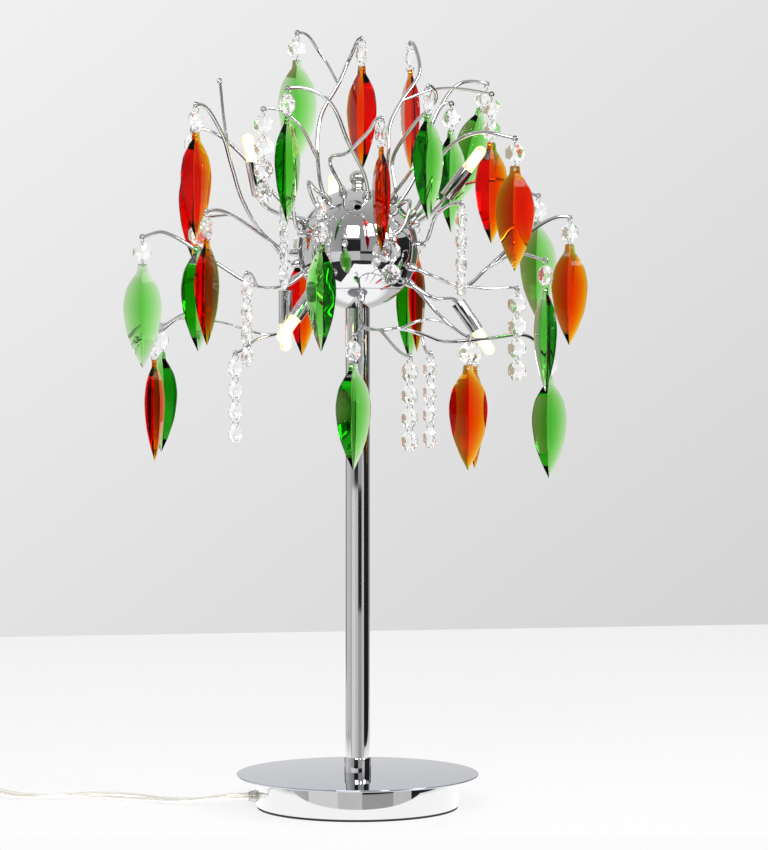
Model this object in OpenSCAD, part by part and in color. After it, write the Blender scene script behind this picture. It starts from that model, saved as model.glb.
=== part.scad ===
// Tree table lamp. A chrome ball on a stem carries bent wire twigs, hung with coloured glass
// leaves and strands of octagon beads, with six small capsule lamps among them.
// Millimetres, +Z up, origin in the middle of the underside of the base.
// The viewer looks along +Y, so -Y is the front and +X is the viewer's right.

/* [Base] */
// Diameter of the top plate
plate_d = 180; // [165:1:220]
// Thickness of the top plate
plate_t = 1.5; // [1:0.1:3]
// Outer diameter of the drum under the plate
drum_d = 150; // [140:1:160]
// Height of the drum
drum_h = 22; // [20:0.5:40]
// Sheet thickness of the drum
drum_wall = 1.2; // [0.8:0.1:2]
// Thickness of the felt under the base
felt_t = 1.5; // [1:0.1:4]
// Gap between the felt's edge and the drum's
felt_inset = 0.6; // [0.2:0.1:3]
// Thickness of the iron weight
weight_t = 8; // [6:0.5:8]
// Gap between the iron weight and the drum's wall
weight_gap = 3.8; // [1:0.1:8]
// Length of the transformer
trafo_l = 80; // [60:1:90]
// Width of the transformer
trafo_w = 30; // [24:1:36]
// Height of the transformer
trafo_h = 11; // [8:0.5:12]
// Distance of the transformer behind the stem's axis
trafo_y = 34; // [32:1:40]

/* [Stem] */
// Outer diameter of the stem tube
stem_d = 18; // [14:0.5:24]
// Wall of the stem tube
stem_wall = 1; // [0.8:0.1:2]
// Length of the stem tube, from the plate to the ball's lowest point
stem_l = 344; // [300:1:400]
// Outer diameter of the collar at the stem's foot
collar_d = 20; // [19:0.5:30]
// Height of the collar
collar_h = 12; // [8:0.5:20]
// Diameter of the tie rod inside the stem
rod_d = 6; // [5:0.5:8]
// Width of the rod's hexagon nuts across the flats
nut_af = 10; // [9:0.5:14]
// Height of the rod's nuts
nut_h = 5; // [4:0.5:6]
// How far the tie rod reaches below its lower nut
rod_below = 3; // [1:0.5:4]

/* [Ball] */
// Diameter of the ball
ball_d = 90; // [80:1:100]
// Sheet thickness of the ball
ball_wall = 1.2; // [0.8:0.1:2]
// Height of the seam below the ball's middle
seam_drop = 30; // [26:0.5:31]
// Diameter of the finial's knob
finial_d = 12; // [10:0.5:16]
// Diameter of the finial's foot
finial_foot_d = 9; // [8.5:0.5:12]
// Height of the finial's foot
finial_foot_h = 2; // [1.5:0.1:4]
// Diameter of the spare twig hole at the front of the ball
spare_hole_d = 5; // [3:0.5:6]

/* [Twigs] */
// Diameter of a main twig
twig_d = 2.8; // [2.4:0.1:3.2]
// Diameter of a side twig
side_twig_d = 2.2; // [1.8:0.1:2.3]
// Diameter of the eye at a twig's tip
eye_d = 4.6; // [4:0.1:5]
// Thickness of the eye
eye_t = 1.6; // [1:0.1:1.8]
// Hole in the eye
eye_hole_d = 2; // [1.8:0.1:2.4]
// Wide end of the ferrule where a twig leaves the ball
ferrule_d = 7; // [6:0.5:8]
// Length of the ferrule outside the ball
ferrule_l = 6; // [4:0.5:8]
// Diameter of the ferrule's spigot inside the ball
spigot_d = 3.8; // [3.4:0.1:5]
// Length of the ferrule's spigot
spigot_l = 4; // [3:0.5:6]

/* [Lamps] */
// Diameter of the tube that carries a lamp
arm_d = 3.4; // [3:0.1:3.6]
// Outer diameter of a lamp sleeve
sleeve_d = 10.5; // [10:0.1:13]
// Length of a lamp sleeve
sleeve_l = 25; // [20:0.5:30]
// Wall of a lamp sleeve
sleeve_wall = 0.6; // [0.4:0.1:0.8]
// Floor of a lamp sleeve
sleeve_floor = 1.5; // [1:0.1:3]
// Height of the ceramic socket in the sleeve
socket_h = 14; // [10:0.5:16]
// Diameter of a bulb's glass
bulb_d = 8.4; // [7:0.1:8.6]
// Length of a bulb's glass
bulb_l = 30; // [24:0.5:36]
// Distance between a bulb's two pins
pin_pitch = 4; // [3.5:0.1:4.5]
// Diameter of a bulb's pins
pin_d = 0.8; // [0.6:0.1:1]
// Length of a bulb's pins
pin_l = 6; // [5:0.5:8]

/* [Crystals] */
// Length of a glass leaf
leaf_l = 76; // [60:1:84]
// Greatest width of a glass leaf
leaf_w = 28; // [20:0.5:30]
// Greatest thickness of a glass leaf
leaf_t = 9; // [7:0.5:10]
// Width of the head of a leaf
leaf_head_w = 7; // [6:0.5:9]
// Thickness of the head of a leaf
leaf_head_t = 2.8; // [2:0.1:3]
// Distance of a leaf's hole below its top
leaf_hole_z = 2.4; // [2:0.1:2.6]
// Width of a bead across its flats
bead_w = 14; // [12.5:0.1:14.4]
// Thickness of a bead
bead_t = 5; // [4:0.1:5.4]
// Thickness of a bead at its rim
bead_rim_t = 1.2; // [0.8:0.1:1.4]
// Width of the flat middle of a bead
bead_table_w = 6.4; // [5:0.1:7]
// Distance from a bead's hole to its rim
bead_hole_in = 1.8; // [1.7:0.05:2]
// Hole in a leaf or a bead
crystal_hole_d = 2; // [1.8:0.05:2.2]
// Wire of a jump ring
ring_wire = 0.7; // [0.5:0.05:0.75]
// Diameter of a jump ring, between the middles of its wire
ring_d = 6; // [5.8:0.1:7]

/* [Cord] */
// Width of the flat twin cord
cord_w = 5.6; // [5:0.1:6]
// Thickness of the cord
cord_t = 2.8; // [2.4:0.1:3]
// Length over which the twisted cord turns half round
cord_half_turn = 120; // [60:1:180]
// Height of the cord's exit above the table
exit_z = 8; // [7:0.5:12]
// Diameter of the cord bush
bush_d = 9.6; // [9.2:0.1:12]
// Length of the bush outside the drum
bush_out = 6; // [5:0.5:12]
// Length of the bush inside the drum
bush_in = 15; // [12:0.5:18]
// Turns of cord in each layer of the coil
coil_turns = 3.75; // [3.75:1:5.75]
// Radius of the coil, to the middle of its outer turn
coil_r = 38; // [37:0.5:42]
// Gap between the turns and the layers of the coil
coil_gap = 0.6; // [0.5:0.1:1]

/* [Switch and plug] */
// Length of the switch on the cord
switch_l = 60; // [50:1:60]
// Width of the switch
switch_w = 26; // [24:0.5:32]
// Height of the switch
switch_h = 17; // [16:0.5:20]
// Length of the rocker
rocker_l = 21; // [18:0.5:26]
// Width of the rocker
rocker_w = 11.4; // [10:0.2:14]
// Diameter of the rocker's pivot pins
rocker_pin_d = 3; // [2:0.1:3.4]
// Tilt of the rocker to either side
rocker_tilt = 7; // [4:0.5:10]
// Width of the plug
plug_w = 35; // [32:0.5:37]
// Thickness of the plug
plug_t = 13.6; // [12:0.2:15]
// Length of the plug without its pins
plug_l = 36; // [30:0.5:40]
// Diameter of the plug's pins
plug_pin_d = 4; // [3.6:0.1:4.8]
// Length of the plug's pins
plug_pin_l = 19; // [15:0.5:20]
// Distance between the plug's pins
plug_pin_pitch = 19; // [17:0.2:20]

/* [Hidden] */
$fa = 6;
$fs = 0.6;
// Running clearance of a loose fit
loose = 0.1;
// Clearance under a curved seat
seat_gap = 0.05;
// Heights of the base from the table up
drum_z = felt_t;
plate_z = drum_z + drum_h;
stem_z = plate_z + plate_t;
drum_top_z = plate_z - drum_wall;
weight_d = drum_d - 2 * (drum_wall + weight_gap);
trafo_z = felt_t + weight_t;
// The ball
ball_r = ball_d / 2;
ball_c = [0, 0, stem_z + stem_l + ball_r];
seam_z = ball_c.z - seam_drop;
finial_z = ball_c.z + ball_r;
finial_c = [0, 0, finial_z + finial_foot_h + finial_d * 0.42];
rod_hole_d = rod_d + 4 * loose;
// The upper nut stands on its corners in the ball's bottom
nut_drop = sqrt(pow(ball_r - ball_wall, 2) - pow(nut_af / 2 / cos(30), 2));
// Points where a twig's wire starts inside its ferrule, and where it stops inside its eye
root_r = ball_r + 1;
eye_stop = (eye_d + eye_hole_d) / 4;
// Sides of a wire, and the longest step along it
wire_sides = 8;
wire_step = 9;
// A tip bends down a little before its eye
tip_pitch = -12;
// Heights on a pendant, from the middle of its eye
bead_hole_z = bead_w / 2 - bead_hole_in;
bead_step = 2 * bead_hole_z + ring_d;
// The socket stands on the sleeve's floor, and the bulb on the socket
bulb_z = sleeve_floor + socket_h;
sleeve_in_d = sleeve_d - 2 * sleeve_wall;
// The cord bush sits in the drum's left wall
bush_neck_d = bush_d - 1.6;
bush_bore_d = cord_w + 4 * loose;
bush_x = -drum_d / 2;
// The drum's wall is curved, so the bush's inner shoulder stands back a little
drum_in_r = drum_d / 2 - drum_wall;
bush_shoulder = drum_wall + loose + drum_in_r - sqrt(drum_in_r * drum_in_r - bush_d * bush_d / 4);
// The switch and the plug lie beside the coil
switch_c = [-322, 40, 0];
rocker_pivot_z = switch_h - 3.5;
coil_c = [-405, 40 - coil_r, 0];
coil_low_z = cord_w / 2 + 0.2;
coil_high_z = coil_low_z + cord_w + coil_gap;
coil_step = cord_t + coil_gap;
coil_rings = 24;
coil_lead = 6;
plug_z = plug_t / 2;
plug_x = -383.5;
plug_y = -58;

GREEN = [0.10, 0.42, 0.14, 0.8];
PALE_GREEN = [0.62, 0.82, 0.55, 0.7];
AMBER = [0.88, 0.48, 0.08, 0.8];
RED = [0.48, 0.08, 0.05, 0.85];
CLEAR = [0.88, 0.92, 0.95, 0.6];
CHROME = [0.80, 0.81, 0.83];

// Each pendant: node, colour of the leaf (CLEAR for a bead strand), number of beads, where its
// twig starts, points on the way, the tip, the tip's heading and how far the leaf turns from it.
// A twig starts on the ball at [azimuth from the front, latitude] or at a point on another twig.
PENDANTS = [
  ["leaf_01", PALE_GREEN, 1, [-14, -17, 534], [[-27, -5, 557]], [-44, -20, 571], 215, -30],
  ["leaf_02", AMBER, 1, [-50, 50],
    [[-29, -28, 478], [-27, -22, 509], [-14, -17, 534], [-6, -10, 553]], [3, -27, 566], 290, 27],
  ["leaf_03", RED, 1, [130, 60],
    [[23, 14, 488], [24, 20, 507], [33, 30, 526], [46, 41, 546], [46, 47, 560]], [40, 57, 572], 110, 7],
  ["leaf_04", GREEN, 1, [15, 55], [[-8, -46, 492], [-22, -60, 519]], [-50, -77, 525], 215, 20],
  ["leaf_05", RED, 1, [-97, -3],
    [[-68, -5, 423], [-84, -20, 448], [-92, -32, 474], [-99, -43, 497]], [-116, -60, 515], 225, 0],
  ["leaf_06", AMBER, 1, [-103, 27],
    [[-62, 8, 455], [-84, 10, 482], [-104, 10, 499]], [-122, 2, 502], 205, 25],
  ["leaf_07", RED, 1, [-30, 62], [[-20, -38, 477], [-7, -58, 481], [8, -66, 495]], [17, -72, 504], 320, -26],
  ["leaf_08", GREEN, 1, [60, 50], [[26, -12, 480], [42, -18, 505], [57, -31, 521]], [51, -51, 529], 250, -30],
  ["leaf_09", PALE_GREEN, 1, [100, 48], [[46, 11, 475], [55, 17, 506]], [70, 20, 523], 0, 40],
  ["leaf_10", GREEN, 1, [150, 40], [[44, 34, 480], [61, 50, 520], [77, 66, 542]], [99, 75, 543], 27, 0],
  ["leaf_11", AMBER, 2, [33, 30, 526], [[62, 38, 536]], [101, 40, 532], 0, 30],
  ["leaf_12", AMBER, 1, [90, 33], [[54, -10, 468], [68, -26, 488], [88, -38, 497]], [114, -46, 492], 345, 10],
  ["leaf_13", PALE_GREEN, 1, [120, 25], [[62, 40, 455], [95, 58, 468]], [139, 84, 458], 30, -30],
  ["leaf_14", AMBER, 1, [65, -18],
    [[58, -22, 392], [78, -14, 386], [95, 4, 399], [129, 25, 428]], [160, 40, 439], 25, -10],
  ["leaf_15", GREEN, 1, [95, 4, 399], [[118, 0, 410]], [138, -17, 405], 330, -30],
  ["leaf_16", GREEN, 1, [5, -52],
    [[4, -60, 356], [16, -71, 353], [31, -71, 354], [46, -63, 350], [62, -50, 345], [92, -28, 347],
      [124, 4, 350]], [144, 28, 339], 38, -16],
  ["leaf_17", AMBER, 1, [31, -71, 354], [[46, -73, 360], [62, -65, 358]], [80, -53, 348], 35, -33],
  ["leaf_18", AMBER, 1, [100, -33], [[62, 8, 364]], [87, 4, 347], 20, 40],
  ["leaf_19", GREEN, 1, [4, -60, 356], [], [-3, -85, 349], 240, -30],
  ["leaf_20", GREEN, 2, [-42, 32], [[-36, -46, 460]], [-26, -83, 450], 290, 27],
  ["leaf_21", AMBER, 1, [-150, 15], [[-28, 52, 438]], [-42, 54, 431], 180, 40],
  ["leaf_22", GREEN, 1, [158, 3], [[28, 58, 432]], [40, 72, 428], 45, 0],
  ["leaf_23", AMBER, 1, [140, 12], [[35, 42, 437]], [45, 51, 434], 45, 20],
  ["leaf_24", PALE_GREEN, 1, [-58, -22],
    [[-52, -30, 386], [-73, -34, 385], [-104, -30, 403], [-141, -20, 425]], [-158, -15, 422], 165, 15],
  ["leaf_25", AMBER, 1, [-82, -14], [[-66, -16, 420], [-92, -40, 437]], [-108, -68, 438], 237, 0],
  ["leaf_26", GREEN, 1, [-92, -40, 437], [], [-116, -36, 434], 175, 40],
  ["leaf_27", AMBER, 1, [-142, -33],
    [[-58, 46, 352], [-105, 44, 360], [-134, 36, 363]], [-152, 26, 352], 205, 40],
  ["leaf_28", GREEN, 1, [-105, 44, 360], [[-130, 58, 367]], [-150, 68, 358], 150, 0],
  ["beads_1", CLEAR, 4, [-29, -28, 478], [[-44, -40, 504]], [-68, -47, 513], 195, 0],
  ["beads_2", CLEAR, 4, [-60, 12], [[-48, -44, 448]], [-53, -62, 450], 250, 0],
  ["beads_3", CLEAR, 4, [-73, -34, 385], [], [-80, -50, 394], 240, 0],
  ["beads_4", CLEAR, 4, [-58, 46, 352], [[-76, 30, 347]], [-91, 14, 337], 225, 0],
  ["beads_5", CLEAR, 4, [16, -71, 353], [], [37, -90, 334], 320, 0],
  ["beads_6", CLEAR, 4, [46, -63, 350], [], [52, -72, 336], 310, 0],
  ["beads_7", CLEAR, 4, [78, 3], [[58, -26, 438]], [75, -48, 445], 300, 0],
  ["beads_8", CLEAR, 4, [78, -14, 386], [[97, -18, 384]], [117, -22, 384], 335, 0],
  ["beads_9", CLEAR, 2, [45, 35], [[38, -46, 446]], [24, -54, 421], 190, 0],
];
// A twig with a bare tip, in the same form without a pendant, and the pitch of its tip
BARE_TWIG = [[-92, -32, 474], [[-97, -36, 505]], [-100, -39, 534], 225, 80];
// The pendant that hangs aslant, and by how much
LEANING = ["leaf_10", 15];
// Each lamp: where its arm starts on the ball, a point on the way, the foot of its sleeve and
// the point that the sleeve looks at
LAMPS = [
  [[-80, 25], [], [-72, -25, 452], [-77, -26, 477]],
  [[-168, 2], [], [-18, 60, 428], [-18, 62, 453]],
  [[72, 22], [], [65, -20, 451], [83, -22, 475]],
  [[-33, -30], [], [-32, -46, 381], [-45, -54, 362]],
  [[75, -33], [[56, -14, 377]], [74, -10, 374], [88, -11, 353]],
  [[-120, -20], [], [-54, 31, 384], [-54, 31, 359]],
];
// Points of the cord from the bush to the switch, from the switch to the coil, and to the plug
CORD_TO_SWITCH = [
  [-66, 0, 8], [-82, 0, 8], [-96, 0, 7.5], [-110, 2, 6], [-124, 6, 4.4], [-139, 12, 3.6], [-154, 20, 3.2],
  [-170, 29, 3.2], [-187, 36, 3.2], [-204, 38, 3.2], [-221, 35, 3.2], [-238, 34, 3.2], [-255, 36, 3.6],
  [-270, 39, 5.6], [-284, 40, 8], [-300, 40, 8],
];
CORD_TO_COIL = [[-344, 40, 8], [-356, 40, 8], [-367, 40, 6.2], [-378, 40, 4], [-388, 40, 3], [-399, 40, 3]];
CORD_TO_PLUG = [
  [-399, -36, 9.2], [-395, -36, 9.2], [-391, -37.2, 9], [-387, -40.2, 8.5], [-384.4, -45, 7.8],
  [-383.5, -51, 7.1], [-383.5, -58, 6.8], [-383.5, -66, 6.8],
];

function unit(v) = v / norm(v);

// Direction of a place on the ball, from its azimuth and latitude
function ball_dir(place) =
  [sin(place.x) * cos(place.y), -cos(place.x) * cos(place.y), sin(place.y)];

// Direction of a heading in plan with a pitch
function heading_dir(heading, pitch) =
  [cos(heading) * cos(pitch), sin(heading) * cos(pitch), sin(pitch)];

function on_ball(root) = len(root) == 2;
function root_point(root) = on_ball(root) ? ball_c + root_r * ball_dir(root) : root;

// Tangents at the points of a wire: given at its ends, and along the neighbours' chord between
function tangents(points, first, last) =
  let (n = len(points) - 1)
  [for (i = [0 : n]) i == 0 ? first : i == n ? last : unit(points[i + 1] - points[i - 1])];

// A point of the smooth curve from p, heading t, to q, heading u, at a share s of the way
function curve_point(p, t, q, u, s) =
  let (k = norm(q - p))
  (2 * s * s * s - 3 * s * s + 1) * p + (s * s * s - 2 * s * s + s) * k * t
    + (3 * s * s - 2 * s * s * s) * q + (s * s * s - s * s) * k * u;

// Close points along a smooth wire through points
function wire_path(points, first, last) =
  let (t = tangents(points, first, last), n = len(points) - 1)
  concat(
    [for (i = [0 : n - 1])
      let (k = max(3, ceil(norm(points[i + 1] - points[i]) / wire_step)))
      for (j = [0 : k - 1])
        curve_point(points[i], t[i], points[i + 1], t[i + 1], j / k)],
    [points[n]]
  );

// What is left of v across the direction t, at unit length
function across_dir(v, t) = unit(v - (v * t) * t);

// Sides of the rings along a path, carried on from each ring to the next without twist
function carried_sides(dirs) =
  [for (
    i = 0, u = across_dir(abs(dirs[0].z) > 0.9 ? [0, 1, 0] : [0, 0, 1], dirs[0]);
    i < len(dirs);
    i = i + 1, u = i < len(dirs) ? across_dir(u, dirs[i]) : u
  ) u];

// Places the X, Y and Z axes along x, y and z, with the origin at c
module frame_at(c, x, y, z)
  multmatrix([[x.x, y.x, z.x, c.x], [x.y, y.y, z.y, c.y], [x.z, y.z, z.z, c.z], [0, 0, 0, 1]])
    children();

// Stands its children on c with their Z axis along dir
module along(c, dir) {
  side = unit(abs(dir.z) > 0.9 ? cross(dir, [0, 1, 0]) : cross(dir, [0, 0, 1]));
  frame_at(c, side, cross(dir, side), dir)
    children();
}

// A smooth round wire through points
module bent_wire(points, first, last, d) {
  path = wire_path(points, first, last);
  n = len(path) - 1;
  dirs = [for (i = [0 : n]) i == 0 ? first : i == n ? last : unit(path[i + 1] - path[i - 1])];
  sides = carried_sides(dirs);
  polyhedron(
    [for (i = [0 : n], j = [0 : wire_sides - 1])
      path[i] + d / 2 * (cos(360 * j / wire_sides) * sides[i]
        + sin(360 * j / wire_sides) * cross(sides[i], dirs[i]))],
    band_faces(n + 1, wire_sides)
  );
}

// The tapered ferrule of a wire, with a spigot that goes through the ball's wall
module ferrule(place, d) {
  along(ball_c, ball_dir(place)) {
    translate([0, 0, ball_r + seat_gap])
      cylinder(d1 = ferrule_d, d2 = d + 1.4, h = ferrule_l);
    translate([0, 0, ball_r - spigot_l])
      cylinder(d = spigot_d, h = spigot_l + ferrule_l / 4);
  }
}

// A twig with an eye at its tip, whose hole runs level across the heading
module twig(root, via, tip, heading, pitch = tip_pitch) {
  d = on_ball(root) ? twig_d : side_twig_d;
  start = root_point(root);
  end_dir = heading_dir(heading, pitch);
  points = concat([start], via, [tip - eye_stop * end_dir]);
  first = on_ball(root) ? ball_dir(root) : unit(points[1] - start);
  across = heading_dir(heading + 90, 0);
  if (on_ball(root))
    ferrule(root, d);
  difference() {
    union() {
      bent_wire(points, first, end_dir, d);
      along(tip - across * eye_t / 2, across)
        cylinder(d = eye_d, h = eye_t);
    }
    along(tip - across * eye_t, across)
      cylinder(d = eye_hole_d, h = 2 * eye_t);
  }
}

module twigs() color(CHROME) {
  for (p = PENDANTS)
    twig(p[3], p[4], p[5], p[6]);
  twig(BARE_TWIG[0], BARE_TWIG[1], BARE_TWIG[2], BARE_TWIG[3], BARE_TWIG[4]);
}

// A jump ring that hangs from z, across the X axis
module jump_ring(z)
  translate([0, 0, z - ring_d / 2])
    rotate([0, 90, 0])
      rotate_extrude()
        translate([ring_d / 2, 0])
          circle(d = ring_wire, $fn = 16);

// A hole across the flat of a crystal, at height z
module crystal_hole(z)
  translate([0, 0, z])
    rotate([90, 0, 0])
      cylinder(d = crystal_hole_d, h = 2 * leaf_t, center = true);

// Triangles of the bands between closed rings of k points, with fans over the two ends
function band_faces(rings, k) = concat(
  [for (i = [0 : rings - 2], j = [0 : k - 1]) [i * k + j, i * k + (j + 1) % k, (i + 1) * k + j]],
  [for (i = [0 : rings - 2], j = [0 : k - 1])
    [i * k + (j + 1) % k, (i + 1) * k + (j + 1) % k, (i + 1) * k + j]],
  [for (j = [1 : k - 2]) [0, j + 1, j]],
  [for (j = [1 : k - 2]) [(rings - 1) * k, (rings - 1) * k + j, (rings - 1) * k + j + 1]]
);

// A faceted octagon bead whose upper hole is at z
module bead(z) {
  corner = 1 / cos(22.5) / 2;
  rings = [[bead_table_w, -bead_t], [bead_w, -bead_rim_t], [bead_w, bead_rim_t], [bead_table_w, bead_t]];
  translate([0, 0, z - bead_hole_z])
    difference() {
      polyhedron(
        [for (r = rings, j = [0 : 7])
          [r.x * corner * cos(22.5 + 45 * j), r.y / 2, r.x * corner * sin(22.5 + 45 * j)]],
        band_faces(len(rings), 8)
      );
      crystal_hole(bead_hole_z);
      crystal_hole(-bead_hole_z);
    }
}

// A glass leaf whose hole is at z: six-sided sections from the head to the point.
// Each section gives its share of the length, of the width and of the thickness.
module leaf(z) {
  body = [
    [0.13, 0.5, 0.56], [0.26, 0.87, 0.86], [0.42, 1, 1], [0.62, 0.87, 0.9], [0.82, 0.51, 0.6], [1, 0.03, 0.06]
  ];
  head = [[0, leaf_head_w, leaf_head_t], [0.07, leaf_head_w + 1, leaf_head_t + 0.4]];
  sections = concat(head, [for (s = body) [s[0], s[1] * leaf_w, s[2] * leaf_t]]);
  flat = 0.12;
  translate([0, 0, z + leaf_hole_z])
    difference() {
      polyhedron(
        [for (s = sections, c = [[1, 0], [flat, 1], [-flat, 1], [-1, 0], [-flat, -1], [flat, -1]])
          [c.x * s[1] / 2, c.y * s[2] / 2, -s[0] * leaf_l]],
        band_faces(len(sections), 6)
      );
      crystal_hole(-leaf_hole_z);
    }
}

// A pendant under its eye: ring, bead, ring, bead and so on, and the leaf, each turned a little
// further round than the one that carries it
module pendant(p) {
  beads = p[2];
  has_leaf = p[1] != CLEAR;
  step = p[7] / (2 * beads + 2);
  lean = p[0] == LEANING[0] ? LEANING[1] : 0;
  translate(p[5])
    rotate([0, lean, p[6]]) {
      for (i = [0 : beads - 1]) {
        color(CHROME)
          rotate((2 * i + 1) * step)
            jump_ring(-i * bead_step);
        color(CLEAR)
          rotate((2 * i + 2) * step)
            bead(-i * bead_step - ring_d);
      }
      if (has_leaf) {
        color(CHROME)
          rotate((2 * beads + 1) * step)
            jump_ring(-beads * bead_step);
        color(p[1])
          rotate(p[7])
            leaf(-beads * bead_step - ring_d);
      }
    }
}

// Direction of a lamp sleeve
function lamp_dir(lamp) = unit(lamp[3] - lamp[2]);

module lamp_arms() color(CHROME)
  for (lamp = LAMPS) {
    ferrule(lamp[0], arm_d);
    bent_wire(
      concat([root_point(lamp[0])], lamp[1], [lamp[2]]), ball_dir(lamp[0]), lamp_dir(lamp), arm_d
    );
  }

module lamp_sleeves() color(CHROME)
  for (lamp = LAMPS)
    along(lamp[2], lamp_dir(lamp))
      difference() {
        cylinder(d = sleeve_d, h = sleeve_l);
        translate([0, 0, sleeve_floor])
          cylinder(d = sleeve_in_d, h = sleeve_l);
      }

module bulb_sockets() color("ivory")
  for (lamp = LAMPS)
    along(lamp[2] + sleeve_floor * lamp_dir(lamp), lamp_dir(lamp))
      difference() {
        cylinder(d = sleeve_in_d - 2 * loose, h = socket_h);
        for (x = [-pin_pitch / 2, pin_pitch / 2])
          translate([x, 0, socket_h - pin_l - loose])
            cylinder(d = pin_d + 2 * loose, h = pin_l + 1);
      }

module bulbs() color([1, 0.85, 0.55])
  for (lamp = LAMPS)
    along(lamp[2] + bulb_z * lamp_dir(lamp), lamp_dir(lamp)) {
      cylinder(d = bulb_d, h = bulb_l - bulb_d / 2);
      translate([0, 0, bulb_l - bulb_d / 2])
        sphere(d = bulb_d);
      for (x = [-pin_pitch / 2, pin_pitch / 2])
        translate([x, 0, -pin_l])
          cylinder(d = pin_d, h = pin_l);
    }

// Holes in the ball's wall for the ferrules, and the spare one at the front
module ball_holes() {
  places = concat([for (p = PENDANTS) if (on_ball(p[3])) p[3]], [for (lamp = LAMPS) lamp[0]]);
  for (place = places)
    along(ball_c, ball_dir(place))
      translate([0, 0, ball_r - spigot_l])
        cylinder(d = spigot_d + 2 * loose, h = 2 * spigot_l);
  along(ball_c, ball_dir([0, 40]))
    translate([0, 0, ball_r - spigot_l])
      cylinder(d = spare_hole_d, h = 2 * spigot_l);
  translate([0, 0, stem_z])
    cylinder(d = rod_hole_d, h = finial_z);
}

// A ring-shaped part of the ball between two heights
module ball_shell(z0, z1)
  difference() {
    intersection() {
      translate(ball_c)
        sphere(d = ball_d, $fn = 96);
      translate([-ball_d, -ball_d, z0])
        cube([2 * ball_d, 2 * ball_d, z1 - z0]);
    }
    translate(ball_c)
      sphere(d = ball_d - 2 * ball_wall, $fn = 96);
    ball_holes();
  }

module ball_upper() color(CHROME)
  ball_shell(seam_z, finial_z + 1);

module ball_lower() color(CHROME)
  ball_shell(stem_z + stem_l - 1, seam_z);

module finial() color(CHROME)
  difference() {
    union() {
      translate(finial_c)
        sphere(d = finial_d);
      translate([0, 0, finial_z - 1])
        cylinder(d = finial_foot_d, h = finial_foot_h + 1 + finial_d * 0.1);
    }
    translate(ball_c)
      sphere(d = ball_d + 2 * seat_gap, $fn = 96);
    translate([0, 0, finial_z - 2])
      cylinder(d = rod_d + 2 * loose, h = finial_c.z - finial_z + 2 + loose);
  }

module tie_rod() color("silver")
  translate([0, 0, drum_top_z - nut_h - rod_below])
    cylinder(d = rod_d, h = finial_c.z - drum_top_z + nut_h + rod_below);

module rod_nuts() color("silver")
  for (z = [drum_top_z - nut_h, ball_c.z - nut_drop + seat_gap])
    translate([0, 0, z])
      difference() {
        cylinder(d = nut_af / cos(30), h = nut_h, $fn = 6);
        translate([0, 0, -1])
          cylinder(d = rod_d + 2 * loose, h = nut_h + 2);
      }

// The stem's top is hollowed to the ball's shape
module stem() color(CHROME)
  difference() {
    translate([0, 0, stem_z])
      cylinder(d = stem_d, h = stem_l + stem_d / 4);
    translate([0, 0, stem_z - 1])
      cylinder(d = stem_d - 2 * stem_wall, h = stem_l + stem_d);
    translate(ball_c)
      sphere(d = ball_d + 2 * seat_gap, $fn = 96);
  }

module stem_collar() color(CHROME)
  translate([0, 0, stem_z])
    difference() {
      cylinder(d = collar_d, h = collar_h);
      translate([0, 0, -1])
        cylinder(d = stem_d + 2 * loose, h = collar_h + 2);
      translate([0, 0, collar_h])
        rotate_extrude()
          translate([collar_d / 2, 0])
            circle(r = (collar_d - stem_d) / 4, $fn = 24);
    }

module base_plate() color(CHROME)
  translate([0, 0, plate_z])
    difference() {
      cylinder(d = plate_d, h = plate_t, $fn = 128);
      translate([0, 0, -1])
        cylinder(d = rod_hole_d, h = plate_t + 2);
    }

module base_drum() color(CHROME)
  difference() {
    translate([0, 0, drum_z])
      cylinder(d = drum_d, h = drum_h, $fn = 128);
    translate([0, 0, drum_z - 1])
      cylinder(d = drum_d - 2 * drum_wall, h = drum_h - drum_wall + 1, $fn = 128);
    cylinder(d = rod_hole_d, h = stem_z);
    translate([bush_x + drum_d / 4, 0, exit_z])
      rotate([0, -90, 0])
        cylinder(d = bush_neck_d + 2 * loose, h = drum_d / 2);
  }

module base_weight() color("dimgray")
  translate([0, 0, felt_t])
    difference() {
      cylinder(d = weight_d, h = weight_t);
      translate([0, 0, -1])
        cylinder(d = stem_d, h = weight_t + 2);
      translate([bush_x, -bush_d / 2 - 1, -1])
        cube([drum_wall + bush_in + 2, bush_d + 2, weight_t + 2]);
    }

module base_felt() color("darkslategray")
  cylinder(d = drum_d - 2 * felt_inset, h = felt_t, $fn = 128);

module transformer() color("whitesmoke")
  translate([0, trafo_y, trafo_z])
    linear_extrude(trafo_h)
      offset(r = 3)
        square([trafo_l - 6, trafo_w - 6], center = true);

// The bush is gripped by the drum's wall in a neck, and tapers outside
module cord_bush() color("white")
  translate([bush_x, 0, exit_z])
    rotate([0, -90, 0])
      rotate_extrude()
        polygon([
          [bush_bore_d / 2, -drum_wall - bush_in], [bush_d / 2, -drum_wall - bush_in],
          [bush_d / 2, -bush_shoulder], [bush_neck_d / 2, -bush_shoulder],
          [bush_neck_d / 2, loose * 3], [bush_d / 2, loose * 3],
          [bush_bore_d / 2 + 0.6, bush_out], [bush_bore_d / 2, bush_out]
        ]);

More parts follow.
